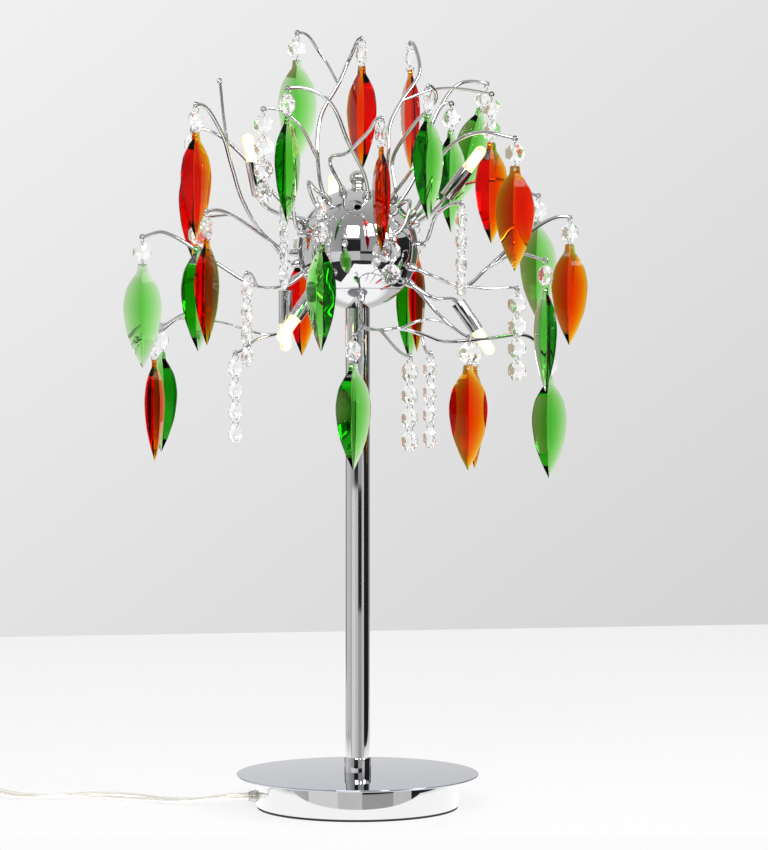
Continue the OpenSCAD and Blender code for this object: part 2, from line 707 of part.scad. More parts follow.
// Rings of a flat cord along points: the section turns by roll degrees at each
function cord_rings(points, roll, sides) =
  let (n = len(points) - 1, offset = 180 / sides)
  [for (i = [0 : n])
    let (
      dir = unit(points[min(i + 1, n)] - points[max(i - 1, 0)]),
      side = unit(cross(dir, [0, 0, 1])),
      up = cross(side, dir)
    )
    for (j = [0 : sides - 1])
      let (
        a = offset + 360 * j / sides,
        p = [cord_t / 2 * cos(a), cord_w / 2 * sin(a)],
        q = [p.x * cos(roll[i]) - p.y * sin(roll[i]), p.x * sin(roll[i]) + p.y * cos(roll[i])]
      )
      points[i] + q.x * side + q.y * up];

module cord_tube(points, roll, sides)
  polyhedron(cord_rings(points, roll, sides), band_faces(len(points), sides));

// Length of a route up to its point i
function run_length(points, i) = i == 0 ? 0 : norm(points[i] - points[i - 1]) + run_length(points, i - 1);

module mains_cord() color("white") {
  cord_tube(
    CORD_TO_SWITCH,
    [for (i = [0 : len(CORD_TO_SWITCH) - 1]) run_length(CORD_TO_SWITCH, i) * 180 / cord_half_turn],
    8
  );
  cord_tube(CORD_TO_COIL, [for (p = CORD_TO_COIL) 0], 8);
  cord_tube(CORD_TO_PLUG, [for (p = CORD_TO_PLUG) 0], 8);
}

// The coil goes in for one layer and out again in the next, with a straight end of coil_lead.
// s counts turns from the start, and it climbs in the half turn about the middle.
function coil_climb(s) = let (u = min(1, max(0, 2 * (s - coil_turns) + 0.5))) u * u * (3 - 2 * u);
function coil_radius(s) = coil_r - coil_step * (coil_turns - abs(s - coil_turns));
function coil_height(s) = coil_low_z + (coil_high_z - coil_low_z) * coil_climb(s);
function coil_point(s) =
  coil_c + [coil_radius(s) * cos(90 + 360 * s), coil_radius(s) * sin(90 + 360 * s), coil_height(s)];
coil_path = concat(
  [coil_point(0) + [coil_lead, 0, 0]],
  [for (i = [0 : 2 * coil_turns * coil_rings]) coil_point(i / coil_rings)],
  [coil_point(2 * coil_turns) + [coil_lead, 0, 0]]
);
// Gap between two turns at one place round the coil, across the sides and tips of their section
function turn_gap(d) = max(
  abs(d.x) - cord_t * cos(30),
  abs(d.y) - cord_w,
  ([abs(d.x), abs(d.y)] * [cord_w / 4, cord_t / 2 * cos(30)] - cord_w * cord_t / 2 * cos(30))
    / norm([cord_w / 4, cord_t / 2 * cos(30)])
);
coil_gaps = [for (i = [0 : 2 * coil_turns * coil_rings], k = [1 : 2 * coil_turns])
  let (s = i / coil_rings)
  if (s + k <= 2 * coil_turns)
    turn_gap([coil_radius(s + k) - coil_radius(s), coil_height(s + k) - coil_height(s)])];
echo(least_gap_in_the_coil = min(coil_gaps));
echo(coil_length = run_length(coil_path, len(coil_path) - 1));

module cord_coil() color("white")
  cord_tube(coil_path, [for (p = coil_path) 0], 6);

// The case has a pocket for the rocker, two pivot bores and a hole for the cord at each end
module switch_case() color("white")
  translate(switch_c)
    difference() {
      hull()
        for (x = [-1, 1], y = [-1, 1]) {
          translate([x * (switch_l / 2 - 4), y * (switch_w / 2 - 7), 0])
            cylinder(r = 4, h = switch_h - 3, $fn = 32);
          translate([x * (switch_l / 2 - 16), y * (switch_w / 2 - 5), 0])
            cylinder(r1 = 5, r2 = 4, h = switch_h, $fn = 32);
        }
      translate([-rocker_l / 2 - 0.8, -rocker_w / 2 - 0.3, rocker_pivot_z - 6])
        cube([rocker_l + 1.6, rocker_w + 0.6, switch_h]);
      translate([0, 0, rocker_pivot_z])
        rotate([90, 0, 0])
          cylinder(d = rocker_pin_d + 2 * loose, h = rocker_w + 4, center = true);
      for (x = [-1, 1])
        translate([x * (switch_l / 2 - 9), 0, 8])
          rotate([0, x * 90, 0])
            cylinder(d = bush_bore_d, h = 20);
    }

// The rocker stands tilted to one side, on two pivot pins
module switch_rocker() color("gainsboro")
  translate(switch_c + [0, 0, rocker_pivot_z])
    rotate([0, rocker_tilt, 0]) {
      rotate([90, 0, 0])
        linear_extrude(rocker_w, center = true)
          polygon([
            [-rocker_l / 2, 5.6], [0, 4], [rocker_l / 2, 5.6], [rocker_l / 2, 1], [3, -3], [-3, -3],
            [-rocker_l / 2, 1]
          ]);
      rotate([90, 0, 0])
        cylinder(d = rocker_pin_d, h = rocker_w + 3, center = true);
    }

// A flat two-pin plug that tapers towards the cord
module plug() color("white")
  translate([plug_x, plug_y, plug_z]) rotate(-90) {
    difference() {
      hull() {
        for (y = [-1, 1])
          translate([plug_l - 10, y * (plug_w - plug_t) / 2, 0])
            rotate([0, 90, 0])
              cylinder(d = plug_t, h = 10, $fn = 32);
        rotate([0, 90, 0])
          cylinder(d = plug_t - 3, h = 10, $fn = 32);
      }
      translate([-1, 0, 0])
        rotate([0, 90, 0])
          cylinder(d = bush_bore_d, h = 12);
    }
    for (y = [-1, 1])
      translate([plug_l - 1, y * plug_pin_pitch / 2, 0])
        rotate([0, 90, 0])
          cylinder(d = plug_pin_d, h = plug_pin_l + 1);
  }

base_plate();
base_drum();
base_weight();
base_felt();
transformer();
cord_bush();
stem();
stem_collar();
tie_rod();
rod_nuts();
ball_upper();
ball_lower();
finial();
twigs();
lamp_arms();
lamp_sleeves();
bulb_sockets();
bulbs();
mains_cord();
cord_coil();
switch_case();
switch_rocker();
plug();
for (p = PENDANTS)
  pendant(p);
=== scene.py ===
"""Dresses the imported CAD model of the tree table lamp: chrome, glass, cord, stage and camera."""

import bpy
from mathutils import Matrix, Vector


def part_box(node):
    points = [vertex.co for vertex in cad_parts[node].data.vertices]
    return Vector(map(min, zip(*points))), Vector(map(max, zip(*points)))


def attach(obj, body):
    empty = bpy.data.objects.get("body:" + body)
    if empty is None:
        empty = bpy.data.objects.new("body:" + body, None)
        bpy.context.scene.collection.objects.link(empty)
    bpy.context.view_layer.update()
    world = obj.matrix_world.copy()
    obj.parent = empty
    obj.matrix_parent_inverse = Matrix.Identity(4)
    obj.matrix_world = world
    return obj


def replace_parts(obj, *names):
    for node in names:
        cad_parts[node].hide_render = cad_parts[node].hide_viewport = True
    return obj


bl_info = {
    "name": "Tree table lamp",
    "version": (1, 0, 0),
    "blender": (4, 5, 0),
    "location": "View3D > Sidebar > Lamp",
    "description": "Builds the shown pieces of the tree table lamp over its packed CAD frame",
    "category": "Object",
}

import math

import bpy
import numpy as np
from mathutils import Matrix

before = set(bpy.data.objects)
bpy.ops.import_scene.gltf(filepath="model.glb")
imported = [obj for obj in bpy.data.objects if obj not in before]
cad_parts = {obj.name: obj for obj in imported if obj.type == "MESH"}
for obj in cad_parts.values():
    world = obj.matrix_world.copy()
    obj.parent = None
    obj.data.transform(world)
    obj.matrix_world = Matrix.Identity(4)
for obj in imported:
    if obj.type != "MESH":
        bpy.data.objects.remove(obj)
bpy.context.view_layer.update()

# Places and routes are in millimetres, as in the CAD; meshes are made in metres.
MM = 0.001
BALL_C = np.array([0.0, 0.0, 414.0])
BALL_R = 45.0
SEAM_Z = 384.0
SPARE_HOLE = (0, 40)

# Pendants: node, glass, beads, root (azimuth and latitude on the ball, or a point on a twig),
# points on the way, eye at the tip, heading and turn
PENDANTS = [
    ("leaf_01", "pale_green", 1, [-14, -17, 534], [[-27, -5, 557]], [-44, -20, 571], 215, -30),
    ("leaf_02", "amber", 1, [-50, 50],
     [[-29, -28, 478], [-27, -22, 509], [-14, -17, 534], [-6, -10, 553]], [3, -27, 566], 290, 27),
    ("leaf_03", "red", 1, [130, 60],
     [[23, 14, 488], [24, 20, 507], [33, 30, 526], [46, 41, 546], [46, 47, 560]], [40, 57, 572], 110, 7),
    ("leaf_04", "green", 1, [15, 55], [[-8, -46, 492], [-22, -60, 519]], [-50, -77, 525], 215, 20),
    ("leaf_05", "red", 1, [-97, -3],
     [[-68, -5, 423], [-84, -20, 448], [-92, -32, 474], [-99, -43, 497]], [-116, -60, 515], 225, 0),
    ("leaf_06", "amber", 1, [-103, 27],
     [[-62, 8, 455], [-84, 10, 482], [-104, 10, 499]], [-122, 2, 502], 205, 25),
    ("leaf_07", "red", 1, [-30, 62],
     [[-20, -38, 477], [-7, -58, 481], [8, -66, 495]], [17, -72, 504], 320, -26),
    ("leaf_08", "green", 1, [60, 50],
     [[26, -12, 480], [42, -18, 505], [57, -31, 521]], [51, -51, 529], 250, -30),
    ("leaf_09", "pale_green", 1, [100, 48], [[46, 11, 475], [55, 17, 506]], [70, 20, 523], 0, 40),
    ("leaf_10", "green", 1, [150, 40], [[44, 34, 480], [61, 50, 520], [77, 66, 542]], [99, 75, 543], 27, 0),
    ("leaf_11", "amber", 2, [33, 30, 526], [[62, 38, 536]], [101, 40, 532], 0, 30),
    ("leaf_12", "amber", 1, [90, 33],
     [[54, -10, 468], [68, -26, 488], [88, -38, 497]], [114, -46, 492], 345, 10),
    ("leaf_13", "pale_green", 1, [120, 25], [[62, 40, 455], [95, 58, 468]], [139, 84, 458], 30, -30),
    ("leaf_14", "amber", 1, [65, -18],
     [[58, -22, 392], [78, -14, 386], [95, 4, 399], [129, 25, 428]], [160, 40, 439], 25, -10),
    ("leaf_15", "green", 1, [95, 4, 399], [[118, 0, 410]], [138, -17, 405], 330, -30),
    ("leaf_16", "green", 1, [5, -52],
     [[4, -60, 356], [16, -71, 353], [31, -71, 354], [46, -63, 350],
      [62, -50, 345], [92, -28, 347], [124, 4, 350]],
     [144, 28, 339], 38, -16),
    ("leaf_17", "amber", 1, [31, -71, 354], [[46, -73, 360], [62, -65, 358]], [80, -53, 348], 35, -33),
    ("leaf_18", "amber", 1, [100, -33], [[62, 8, 364]], [87, 4, 347], 20, 40),
    ("leaf_19", "green", 1, [4, -60, 356], [], [-3, -85, 349], 240, -30),
    ("leaf_20", "green", 2, [-42, 32], [[-36, -46, 460]], [-26, -83, 450], 290, 27),
    ("leaf_21", "amber", 1, [-150, 15], [[-28, 52, 438]], [-42, 54, 431], 180, 40),
    ("leaf_22", "green", 1, [158, 3], [[28, 58, 432]], [40, 72, 428], 45, 0),
    ("leaf_23", "amber", 1, [140, 12], [[35, 42, 437]], [45, 51, 434], 45, 20),
    ("leaf_24", "pale_green", 1, [-58, -22],
     [[-52, -30, 386], [-73, -34, 385], [-104, -30, 403], [-141, -20, 425]], [-158, -15, 422], 165, 15),
    ("leaf_25", "amber", 1, [-82, -14], [[-66, -16, 420], [-92, -40, 437]], [-108, -68, 438], 237, 0),
    ("leaf_26", "green", 1, [-92, -40, 437], [], [-116, -36, 434], 175, 40),
    ("leaf_27", "amber", 1, [-142, -33],
     [[-58, 46, 352], [-105, 44, 360], [-134, 36, 363]], [-152, 26, 352], 205, 40),
    ("leaf_28", "green", 1, [-105, 44, 360], [[-130, 58, 367]], [-150, 68, 358], 150, 0),
    ("beads_1", None, 4, [-29, -28, 478], [[-44, -40, 504]], [-68, -47, 513], 195, 0),
    ("beads_2", None, 4, [-60, 12], [[-48, -44, 448]], [-53, -62, 450], 250, 0),
    ("beads_3", None, 4, [-73, -34, 385], [], [-80, -50, 394], 240, 0),
    ("beads_4", None, 4, [-58, 46, 352], [[-76, 30, 347]], [-91, 14, 337], 225, 0),
    ("beads_5", None, 4, [16, -71, 353], [], [37, -90, 334], 320, 0),
    ("beads_6", None, 4, [46, -63, 350], [], [52, -72, 336], 310, 0),
    ("beads_7", None, 4, [78, 3], [[58, -26, 438]], [75, -48, 445], 300, 0),
    ("beads_8", None, 4, [78, -14, 386], [[97, -18, 384]], [117, -22, 384], 335, 0),
    ("beads_9", None, 2, [45, 35], [[38, -46, 446]], [24, -54, 421], 190, 0),
]
# A twig without a pendant points up at its tip; one pendant hangs aslant, in degrees
BARE_TWIG = ("bare", None, 0, [-92, -32, 474], [[-97, -36, 505]], [-100, -39, 534], 225, 0)
BARE_PITCH, TIP_PITCH = 80, -12
LEANS = {"leaf_10": 15}
# Lamps: root on the ball, points on the way, foot of the sleeve and the point it looks at
LAMPS = [
    ([-80, 25], [], [-72, -25, 452], [-77, -26, 477]),
    ([-168, 2], [], [-18, 60, 428], [-18, 62, 453]),
    ([72, 22], [], [65, -20, 451], [83, -22, 475]),
    ([-33, -30], [], [-32, -46, 381], [-45, -54, 362]),
    ([75, -33], [[56, -14, 377]], [74, -10, 374], [88, -11, 353]),
    ([-120, -20], [], [-54, 31, 384], [-54, 31, 359]),
]
# Cord: from the base through the switch to the coil, and from the coil to the plug
CORD_TO_COIL = [
    [-66, 0, 8], [-82, 0, 8], [-96, 0, 7.5], [-110, 2, 6], [-124, 6, 4.4], [-139, 12, 3.6],
    [-154, 20, 3.2], [-170, 29, 3.2], [-187, 36, 3.2], [-204, 38, 3.2], [-221, 35, 3.2],
    [-238, 34, 3.2], [-255, 36, 3.6], [-270, 39, 5.6], [-284, 40, 8], [-300, 40, 8],
    [-344, 40, 8], [-356, 40, 8], [-367, 40, 6.2], [-378, 40, 4], [-388, 40, 3], [-399, 40, 3],
]
CORD_TO_PLUG = [
    [-399, -36, 9.2], [-395, -36, 9.2], [-391, -37.2, 9], [-387, -40.2, 8.5], [-384.4, -45, 7.8],
    [-383.5, -51, 7.1], [-383.5, -58, 6.8], [-383.5, -66, 6.8],
]
COIL_C = np.array([-405.0, 2.0])
COIL_R, COIL_STEP, COIL_TURNS = 38.0, 3.4, 3.75
COIL_LOW_Z, COIL_HIGH_Z = 3.0, 9.2
COIL_POINTS, CORD_STEP = 48, 2.5
# The cord enters the switch at SWITCH_X and ends its twist within SWITCH_L. The arc of each of its
# two lobes goes GROOVE degrees past its widest places, into the groove between them.
SWITCH_X, SWITCH_L, GROOVE, LOBE_POINTS, CORE_R = -302, 38, 62, 10, 0.75
# Tie of the coil: its loop in distance from the coil's middle and height, and half its section
TIE_LOOP = [
    [22.6, 0.1], [40.4, 0.1], [41.0, 1], [41.0, 11.6], [40.4, 12.4], [22.6, 12.4], [22.0, 11.6], [22.0, 1],
]
TIE_HALF_W, TIE_HALF_T, TIE_POINTS = 2, 0.07, 6
# Ends of the plug's pins; the bare metal stands a hair proud of them
PIN_ENDS = [[-393, -113, 6.8], [-374, -113, 6.8]]
PIN_TIP_R, PIN_TIP_L, PIN_PROUD, PIN_TIP_EDGE = 2.04, 9.5, 0.04, 0.7
# Base and stem: radii, feet and tops, a hair inside the CAD's where pieces meet. A value whose name
# ends in EDGE, here or elsewhere, is how far a rounded corner reaches; the round has EDGE_POINTS points.
EDGE_POINTS = 5
PLATE_R, PLATE_Z, PLATE_TOP, PLATE_EDGE = 89.99, 23.55, 24.99, 0.6
DRUM_R, DRUM_LIP_R, DRUM_IN_R, DRUM_EDGE = 74.99, 74, 73.8, 1.2
DRUM_Z, DRUM_ROOF, DRUM_TOP = 1.55, 22.3, 23.45
STEM_R, STEM_IN_R, STEM_Z = 9, 8, 25.05
COLLAR_R, COLLAR_IN_R, COLLAR_SHOULDER, COLLAR_TOP = 10, 9.1, 36.3, 37
COLLAR_ROUND = [[9.75, 36.8], [9.3, 37]]
# Ball: the groove at its seam, its inside, the gap to its seat, and its open hole, whose rim is in
# radius and height along the hole's axis; its outside starts HOLE_MARGIN radians from the hole
SEAM_HALF_W, SEAM_DEPTH = 0.4, 0.3
BALL_IN_R, BALL_SEAT, HOLE_R, HOLE_MARGIN = 43.8, 0.05, 2.5, 0.012
HOLE_RIM = [[2.5, 44.4], [2.62, 44.75]]
HOLE_BACK = [[2.55, 43.75]]
FINIAL_R, FINIAL_FOOT_R, FINIAL_NECK, FINIAL_ARC = 6.0, 4.5, 5.2, 138
# Wires start inside their ferrules, which stand on the ball; an eye is at a twig's tip
WIRE_STEP, WIRE_ROOT_R = 3, BALL_R + 1
FERRULE_R, FERRULE_WALL, FERRULE_FOOT, FERRULE_TOP, FERRULE_EDGE = 3.5, 0.7, 45.05, 51.05, 0.5
EYE_R, EYE_HALF_W, EYE_HALF_T = 1.65, 0.65, 0.8
# Lamps: radii, and heights above the foot of the sleeve
SLEEVE_R, SLEEVE_IN_R, SLEEVE_FLOOR, SLEEVE_TOP, SLEEVE_EDGE = 5.25, 4.65, 1.5, 25, 0.3
SOCKET_R, SOCKET_FOOT, SOCKET_TOP, SOCKET_EDGE = 4.55, 1.55, 15.4, 0.4
BULB_R, BULB_FOOT, BULB_DOME = 4.2, 15.55, 41.3
GLOW_R, GLOW_DOME, GLOW_DOME_H = 2.2, 38.0, 3.5
GLOW_FOOT = [[0, 26], [0.9, 27], [1.8, 30]]
# Leaf: shares of its length, with its width and thickness there: at the first two, its neck, in
# millimetres, and at the others as shares of the greatest. Its crown adds to its thickness, and its
# top lies above its hole, narrower and thinner than the neck.
LEAF_SHARES = [0, 0.07, 0.13, 0.26, 0.42, 0.62, 0.82, 1]
LEAF_WIDTHS = [0.5, 0.87, 1, 0.87, 0.51, 0.03]
LEAF_DEPTHS = [0.56, 0.86, 1, 0.9, 0.6, 0.06]
LEAF_NECK_W, LEAF_NECK_T, LEAF_CROWN, LEAF_TOP = [7, 8], [2.8, 3.2], 0.6, 2.4
LEAF_RIM, LEAF_RIDGE, LEAF_TOP_W, LEAF_TOP_T = 0.2, 0.03, 0.82, 0.75
# Sections between its two ends: shares of its length at the first and the last, and how many
LEAF_FIRST, LEAF_LAST, LEAF_SECTIONS = 0.008, 0.985, 56
DRILL_R, DRILL_HALF_L = 1.0, 10
BEAD_HOLE, BEAD_PITCH = 5.2, 16.4
# Rings of half a bead: shares of its width and thickness, and 1 where turned by a sixteenth
BEAD_RINGS = [(0.2, 0.5, 0), (0.66, 0.34, 1), (1, 0.12, 0)]
SIXTEENTH = 22.5

# Stage, in metres: outlines in plan; left, right, depth, foot and top of what stands upright
TABLE = [(-0.62, -0.135), (0.33, -0.135), (0.66, 1.534), (-0.62, 1.316)]
FLOOR, FLOOR_Z = [(-4, -4), (4, -4), (4, 2.098), (-4, 0.735)], -0.0004
ROOM_FLOOR, ROOM_FLOOR_Z = [(-4, -4), (4, -4), (4, 4), (-4, 4)], -0.75
SHEET, SHEET_Z = [(-0.25, -1.98), (1.24, -1.72), (1.0, -0.1), (-0.61, -0.1)], -0.745
TABLE_FRONT = (-0.62, 0.33, -0.135, -0.7, 0)
WALL = (-1.35, 0.95, 2.6, -0.6, 1.7)
LEFT_CARD = (-2.7, -1.3, 2.2, -0.7, 1.8)
RIGHT_CARD = (0.69, 2.7, 2.2, -0.7, 1.8)
# The room in front of the lamp: light cabinets, a black doorway over them and a grey pillar. Each
# bent card has a first and last azimuth in degrees, a foot, a top, a distance and a shade.
ROOM_CARDS = [
    ("left_cabinet", -56, -22, -0.6, 0.14, 2.3, "bright"),
    ("cabinet", -22, 5, -0.6, 0.14, 2.3, "light"),
    ("right_cabinet", 5, 40, -0.6, -0.05, 2.3, "grey"),
    ("end_cabinet", 40, 62, -0.6, 0.6, 2.3, "light"),
    ("gap", 5, 40, -0.05, 0.14, 2.32, "dark"),
    ("doorway", -30, 6, 0.14, 1.06, 2.35, "dark"),
    ("pillar", 6, 36, 0.14, 1.06, 2.35, "grey"),
    ("right_dark", 62, 125, -0.74, 1.0, 2.3, "dark"),
]
ARC_POINTS = 13
# Area lights: place, width, height and power; all look at the same point
LIGHTS = [
    ("window", (-0.36, -2.22, 1.72), 1.0, 1.0, 34),
    ("strip", (1.05, -1.9, 1.8), 0.35, 1.0, 12),
    ("side", (2.1, -1.0, 1.6), 0.7, 1.1, 24),
]
LIGHT_AIM = (0, 0, 0.4)
CAMERA, CAMERA_AIM, LENS_MM, SENSOR_MM = (0, -2.15, 0.328), (0.0196, 0, 0.2835), 122.9, 36
WALL_SHADES = (0.606, 0.606, 0.603), (0.946, 0.946, 0.95)
# Light of the world, of the room and of the wall: a slope, a span along it and the colours at its ends
ROOM_SKY = (0, 1, -0.4), (-0.9, 0.0), (0.42, 0.42, 0.42), (0.78, 0.78, 0.78)
WALL_SKY = (-0.404, 0, 0.5225), (-0.156, 0.184), *WALL_SHADES
# In chrome the table is brighter up to the first of these distances, and fades to the second
MIRROR_NEAR, MIRROR_FAR = 0.25, 0.42


def unit(v):
    """v at unit length, along its last axis."""
    v = np.asarray(v, float)
    return v / np.linalg.norm(v, axis=-1, keepdims=True)


def ball_dir(place):
    """Direction of a place on the ball, from its azimuth and latitude in degrees."""
    az, lat = np.radians(place)
    return np.array([math.sin(az) * math.cos(lat), -math.cos(az) * math.cos(lat), math.sin(lat)])


def heading_dir(heading, pitch):
    """Direction of a heading in plan with a pitch, in degrees."""
    a, p = math.radians(heading), math.radians(pitch)
    return np.array([math.cos(a) * math.cos(p), math.sin(a) * math.cos(p), math.sin(p)])


def cubic(s, p, q, a, b):
    """The cubic from p to q at shares s of the way, with slope a at p and b at q: each of the four
    is weighted by its own cubic of s."""
    return (
        (2 * s**3 - 3 * s**2 + 1) * p + (s**3 - 2 * s**2 + s) * a
        + (3 * s**2 - 2 * s**3) * q + (s**3 - s**2) * b
    )


def smooth_path(points, first, last, step):
    """Close points of a cubic curve through points: each stretch leaves and arrives along the
    chord of its neighbours, with handles as long as the stretch."""
    points = np.asarray(points, float)
    t = np.vstack([first, unit(points[2:] - points[:-2]), last])
    out = []
    for p, q, a, b in zip(points[:-1], points[1:], t[:-1], t[1:]):
        k = np.linalg.norm(q - p)
        s = np.linspace(0, 1, max(4, math.ceil(k / step)) + 1)[:-1, None]
        out.append(cubic(s, p, q, k * a, k * b))
    return np.vstack(out + [points[-1:]])


def path_dirs(path):
    """Directions along a path, from each point's neighbours."""
    d = np.vstack([path[1] - path[0], path[2:] - path[:-2], path[-1] - path[-2]])
    return unit(d)


def grid_faces(index, closed):
    """Faces between the rows of an index grid whose columns go round; repeated corners drop out."""
    after = np.vstack([index[1:], index[:1]]) if closed else index[1:]
    before = index if closed else index[:-1]
    quads = np.stack(
        [before, np.roll(before, -1, 1), np.roll(after, -1, 1), after], -1
    ).reshape(-1, 4)
    faces = [list(dict.fromkeys(q)) for q in quads.tolist()]
    return [face for face in faces if len(face) > 2]


def axes_of(direction):
    """Two directions across a direction, and the direction itself, right-handed."""
    z = unit(direction)
    x = unit(np.cross(z, [0, 1, 0] if abs(z[2]) > 0.9 else [0, 0, 1]))
    return x, np.cross(z, x), z


def revolve(profile, centre=(0, 0, 0), axis=(0, 0, 1), sides=64, closed=False):
    """A profile of radius and height turned about an axis through centre: the point at angle a is
    centre + radius (cos a x + sin a y) + height z. A radius of 0 is one point."""
    profile = np.asarray(profile, float)
    x, y, z = axes_of(axis)
    a = np.linspace(0, 2 * np.pi, sides, endpoint=False)[:, None]
    ring = np.cos(a) * x + np.sin(a) * y
    points, index, count = [], [], 0
    for r, h in profile:
        row = np.asarray(centre) + r * ring + h * z
        pole = r < 1e-9
        points.append(row[:1] if pole else row)
        index.append(np.full(sides, count) if pole else count + np.arange(sides))
        count += 1 if pole else sides
    return np.vstack(points), grid_faces(np.vstack(index), closed)


def capped(rows):
    """Points and faces of rows of points that go round, closed at both ends."""
    n, k = rows.shape[:2]
    index = np.arange(n * k).reshape(n, k)
    return rows.reshape(-1, 3), grid_faces(index, False) + [index[0, ::-1].tolist(), index[-1].tolist()]


def tube(path, radius, sides):
    """A round wire along a path: rings of cos a u + sin a v about each point, where u is carried
    from ring to ring without twist. Both ends are closed."""
    dirs = path_dirs(path)
    u = axes_of(dirs[0])[0]
    us = []
    for d in dirs:
        u = unit(u - (u @ d) * d)
        us.append(u)
    us = np.array(us)
    vs = np.cross(dirs, us)
    a = np.linspace(0, 2 * np.pi, sides, endpoint=False)[None, :, None]
    return capped(path[:, None] + radius * (np.cos(a) * us[:, None] + np.sin(a) * vs[:, None]))


def ring_shape(centre, axis, radius, half_w, half_t, sides=24, round_sides=10):
    """A ring of elliptical section about an axis: radius + half_w cos b, at half_t sin b."""
    b = np.linspace(0, 2 * np.pi, round_sides, endpoint=False)
    profile = np.stack([radius + half_w * np.cos(b), half_t * np.sin(b)], -1)
    return revolve(profile, centre, axis, sides, closed=True)


def block(radius, low, high):
    """Profile of a plain round block between two heights."""
    return [[0, low], [radius, low], [radius, high], [0, high]]


def bow(angles, radius, height, middle=0):
    """Round stretch of a profile: at angle a, radius sin a out and middle + height cos a up."""
    return np.stack([radius * np.sin(angles), middle + height * np.cos(angles)], -1)


def rounded(points, radius):
    """A profile with each inner corner rounded by an arc-like quadratic of that reach."""
    points = np.asarray(points, float)
    t = np.linspace(0, 1, EDGE_POINTS)[:, None]
    out = [points[:1]]
    for p, c, n in zip(points[:-2], points[1:-1], points[2:]):
        a = c + unit(p - c) * min(radius, np.linalg.norm(p - c) / 2)
        b = c + unit(n - c) * min(radius, np.linalg.norm(n - c) / 2)
        out.append((1 - t) ** 2 * a + 2 * t * (1 - t) * c + t**2 * b)
    return np.vstack(out + [points[-1:]])


def mesh_of(name, parts, scale=MM):
    """A mesh in metres from parts, each an array of points and a list of faces. The parts are in
    millimetres, unless another scale is given."""
    points, faces, at = [], [], 0
    for p, f in parts:
        points.append(p)
        faces += [[i + at for i in face] for face in f]
        at += len(p)
    mesh = bpy.data.meshes.new(name)
    mesh.from_pydata(np.vstack(points) * scale, [], faces)
    mesh.update()
    return mesh


def add_piece(name, mesh, finish, body="lamp", angle=None):
    """An object for mesh that rides on a body. Edges sharper than angle, in degrees, stay sharp."""
    if angle is not None:
        mesh.shade_smooth()
        mesh.set_sharp_from_angle(angle=math.radians(angle))
    mesh.materials.clear()
    mesh.materials.append(material(finish))
    obj = bpy.data.objects.new(name, mesh)
    bpy.context.scene.collection.objects.link(obj)
    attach(obj, body)
    return obj


def fixed_piece(name, parts, finish, angle=40):
    """A piece of the fixed body from parts in millimetres."""
    return add_piece(name, mesh_of(name, parts), finish, angle=angle)


def drilled(name, mesh, holes):
    """mesh with round holes drilled through it from front to back, each at a centre."""
    bit = block(DRILL_R, -DRILL_HALF_L, DRILL_HALF_L)
    bits = mesh_of(name + "_drill", [revolve(bit, centre, (0, 1, 0), sides=16) for centre in holes])
    obj = bpy.data.objects.new(name, mesh)
    cutter = bpy.data.objects.new(name + "_drill", bits)
    for o in (obj, cutter):
        bpy.context.scene.collection.objects.link(o)
    cut = obj.modifiers.new("holes", "BOOLEAN")
    cut.operation, cut.solver, cut.object = "DIFFERENCE", "EXACT", cutter
    bpy.context.view_layer.update()
    done = bpy.data.meshes.new_from_object(obj.evaluated_get(bpy.context.evaluated_depsgraph_get()))
    done.name = name
    for o in (obj, cutter):
        bpy.data.objects.remove(o)
    return done


def placed(meshes, name):
    """One mesh from (mesh, matrix) pairs, each moved by its matrix."""
    parts = []
    for mesh, matrix in meshes:
        co = np.empty(len(mesh.vertices) * 3)
        mesh.vertices.foreach_get("co", co)
        m = np.array(matrix)
        points = co.reshape(-1, 3) @ m[:3, :3].T + m[:3, 3]
        parts.append((points, [list(p.vertices) for p in mesh.polygons]))
    return mesh_of(name, parts, scale=1)


def length(label, text, mm):
    """A length property with its default in millimetres."""
    return bpy.props.FloatProperty(
        name=label, description=text, default=mm * MM, min=0.0, unit="LENGTH", precision=4
    )


def colour(label, text, rgb):
    """A colour property."""
    return bpy.props.FloatVectorProperty(
        name=label, description=text, default=rgb, size=3, min=0.0, max=1.0, subtype="COLOR"
    )


class LampSizes(bpy.types.PropertyGroup):
    """Sizes of the pieces, as in the CAD."""

    twig_d: length("Twig", "Diameter of a twig that starts at the ball", 2.8)
    side_twig_d: length("Side twig", "Diameter of a twig that starts at another", 2.2)
    arm_d: length("Lamp arm", "Diameter of a lamp's arm", 3.4)
    leaf_l: length("Leaf length", "Length of a glass leaf", 76)
    leaf_w: length("Leaf width", "Greatest width of a glass leaf", 28)
    leaf_t: length("Leaf thickness", "Greatest thickness of a glass leaf", 9)
    bead_w: length("Bead width", "Width of an octagon bead across its flats", 14)
    bead_t: length("Bead thickness", "Thickness of an octagon bead", 5)
    ring_d: length("Jump ring", "Diameter of a jump ring to the middle of its wire", 6)
    ring_wire: length("Ring wire", "Diameter of a jump ring's wire", 0.7)
    cord_w: length("Cord width", "Width of the flat twin cord", 5.6)
    cord_t: length("Cord thickness", "Thickness of the flat twin cord", 2.8)
    cord_half_turn: length("Cord half turn", "Length in which the twisted cord turns half round", 120)


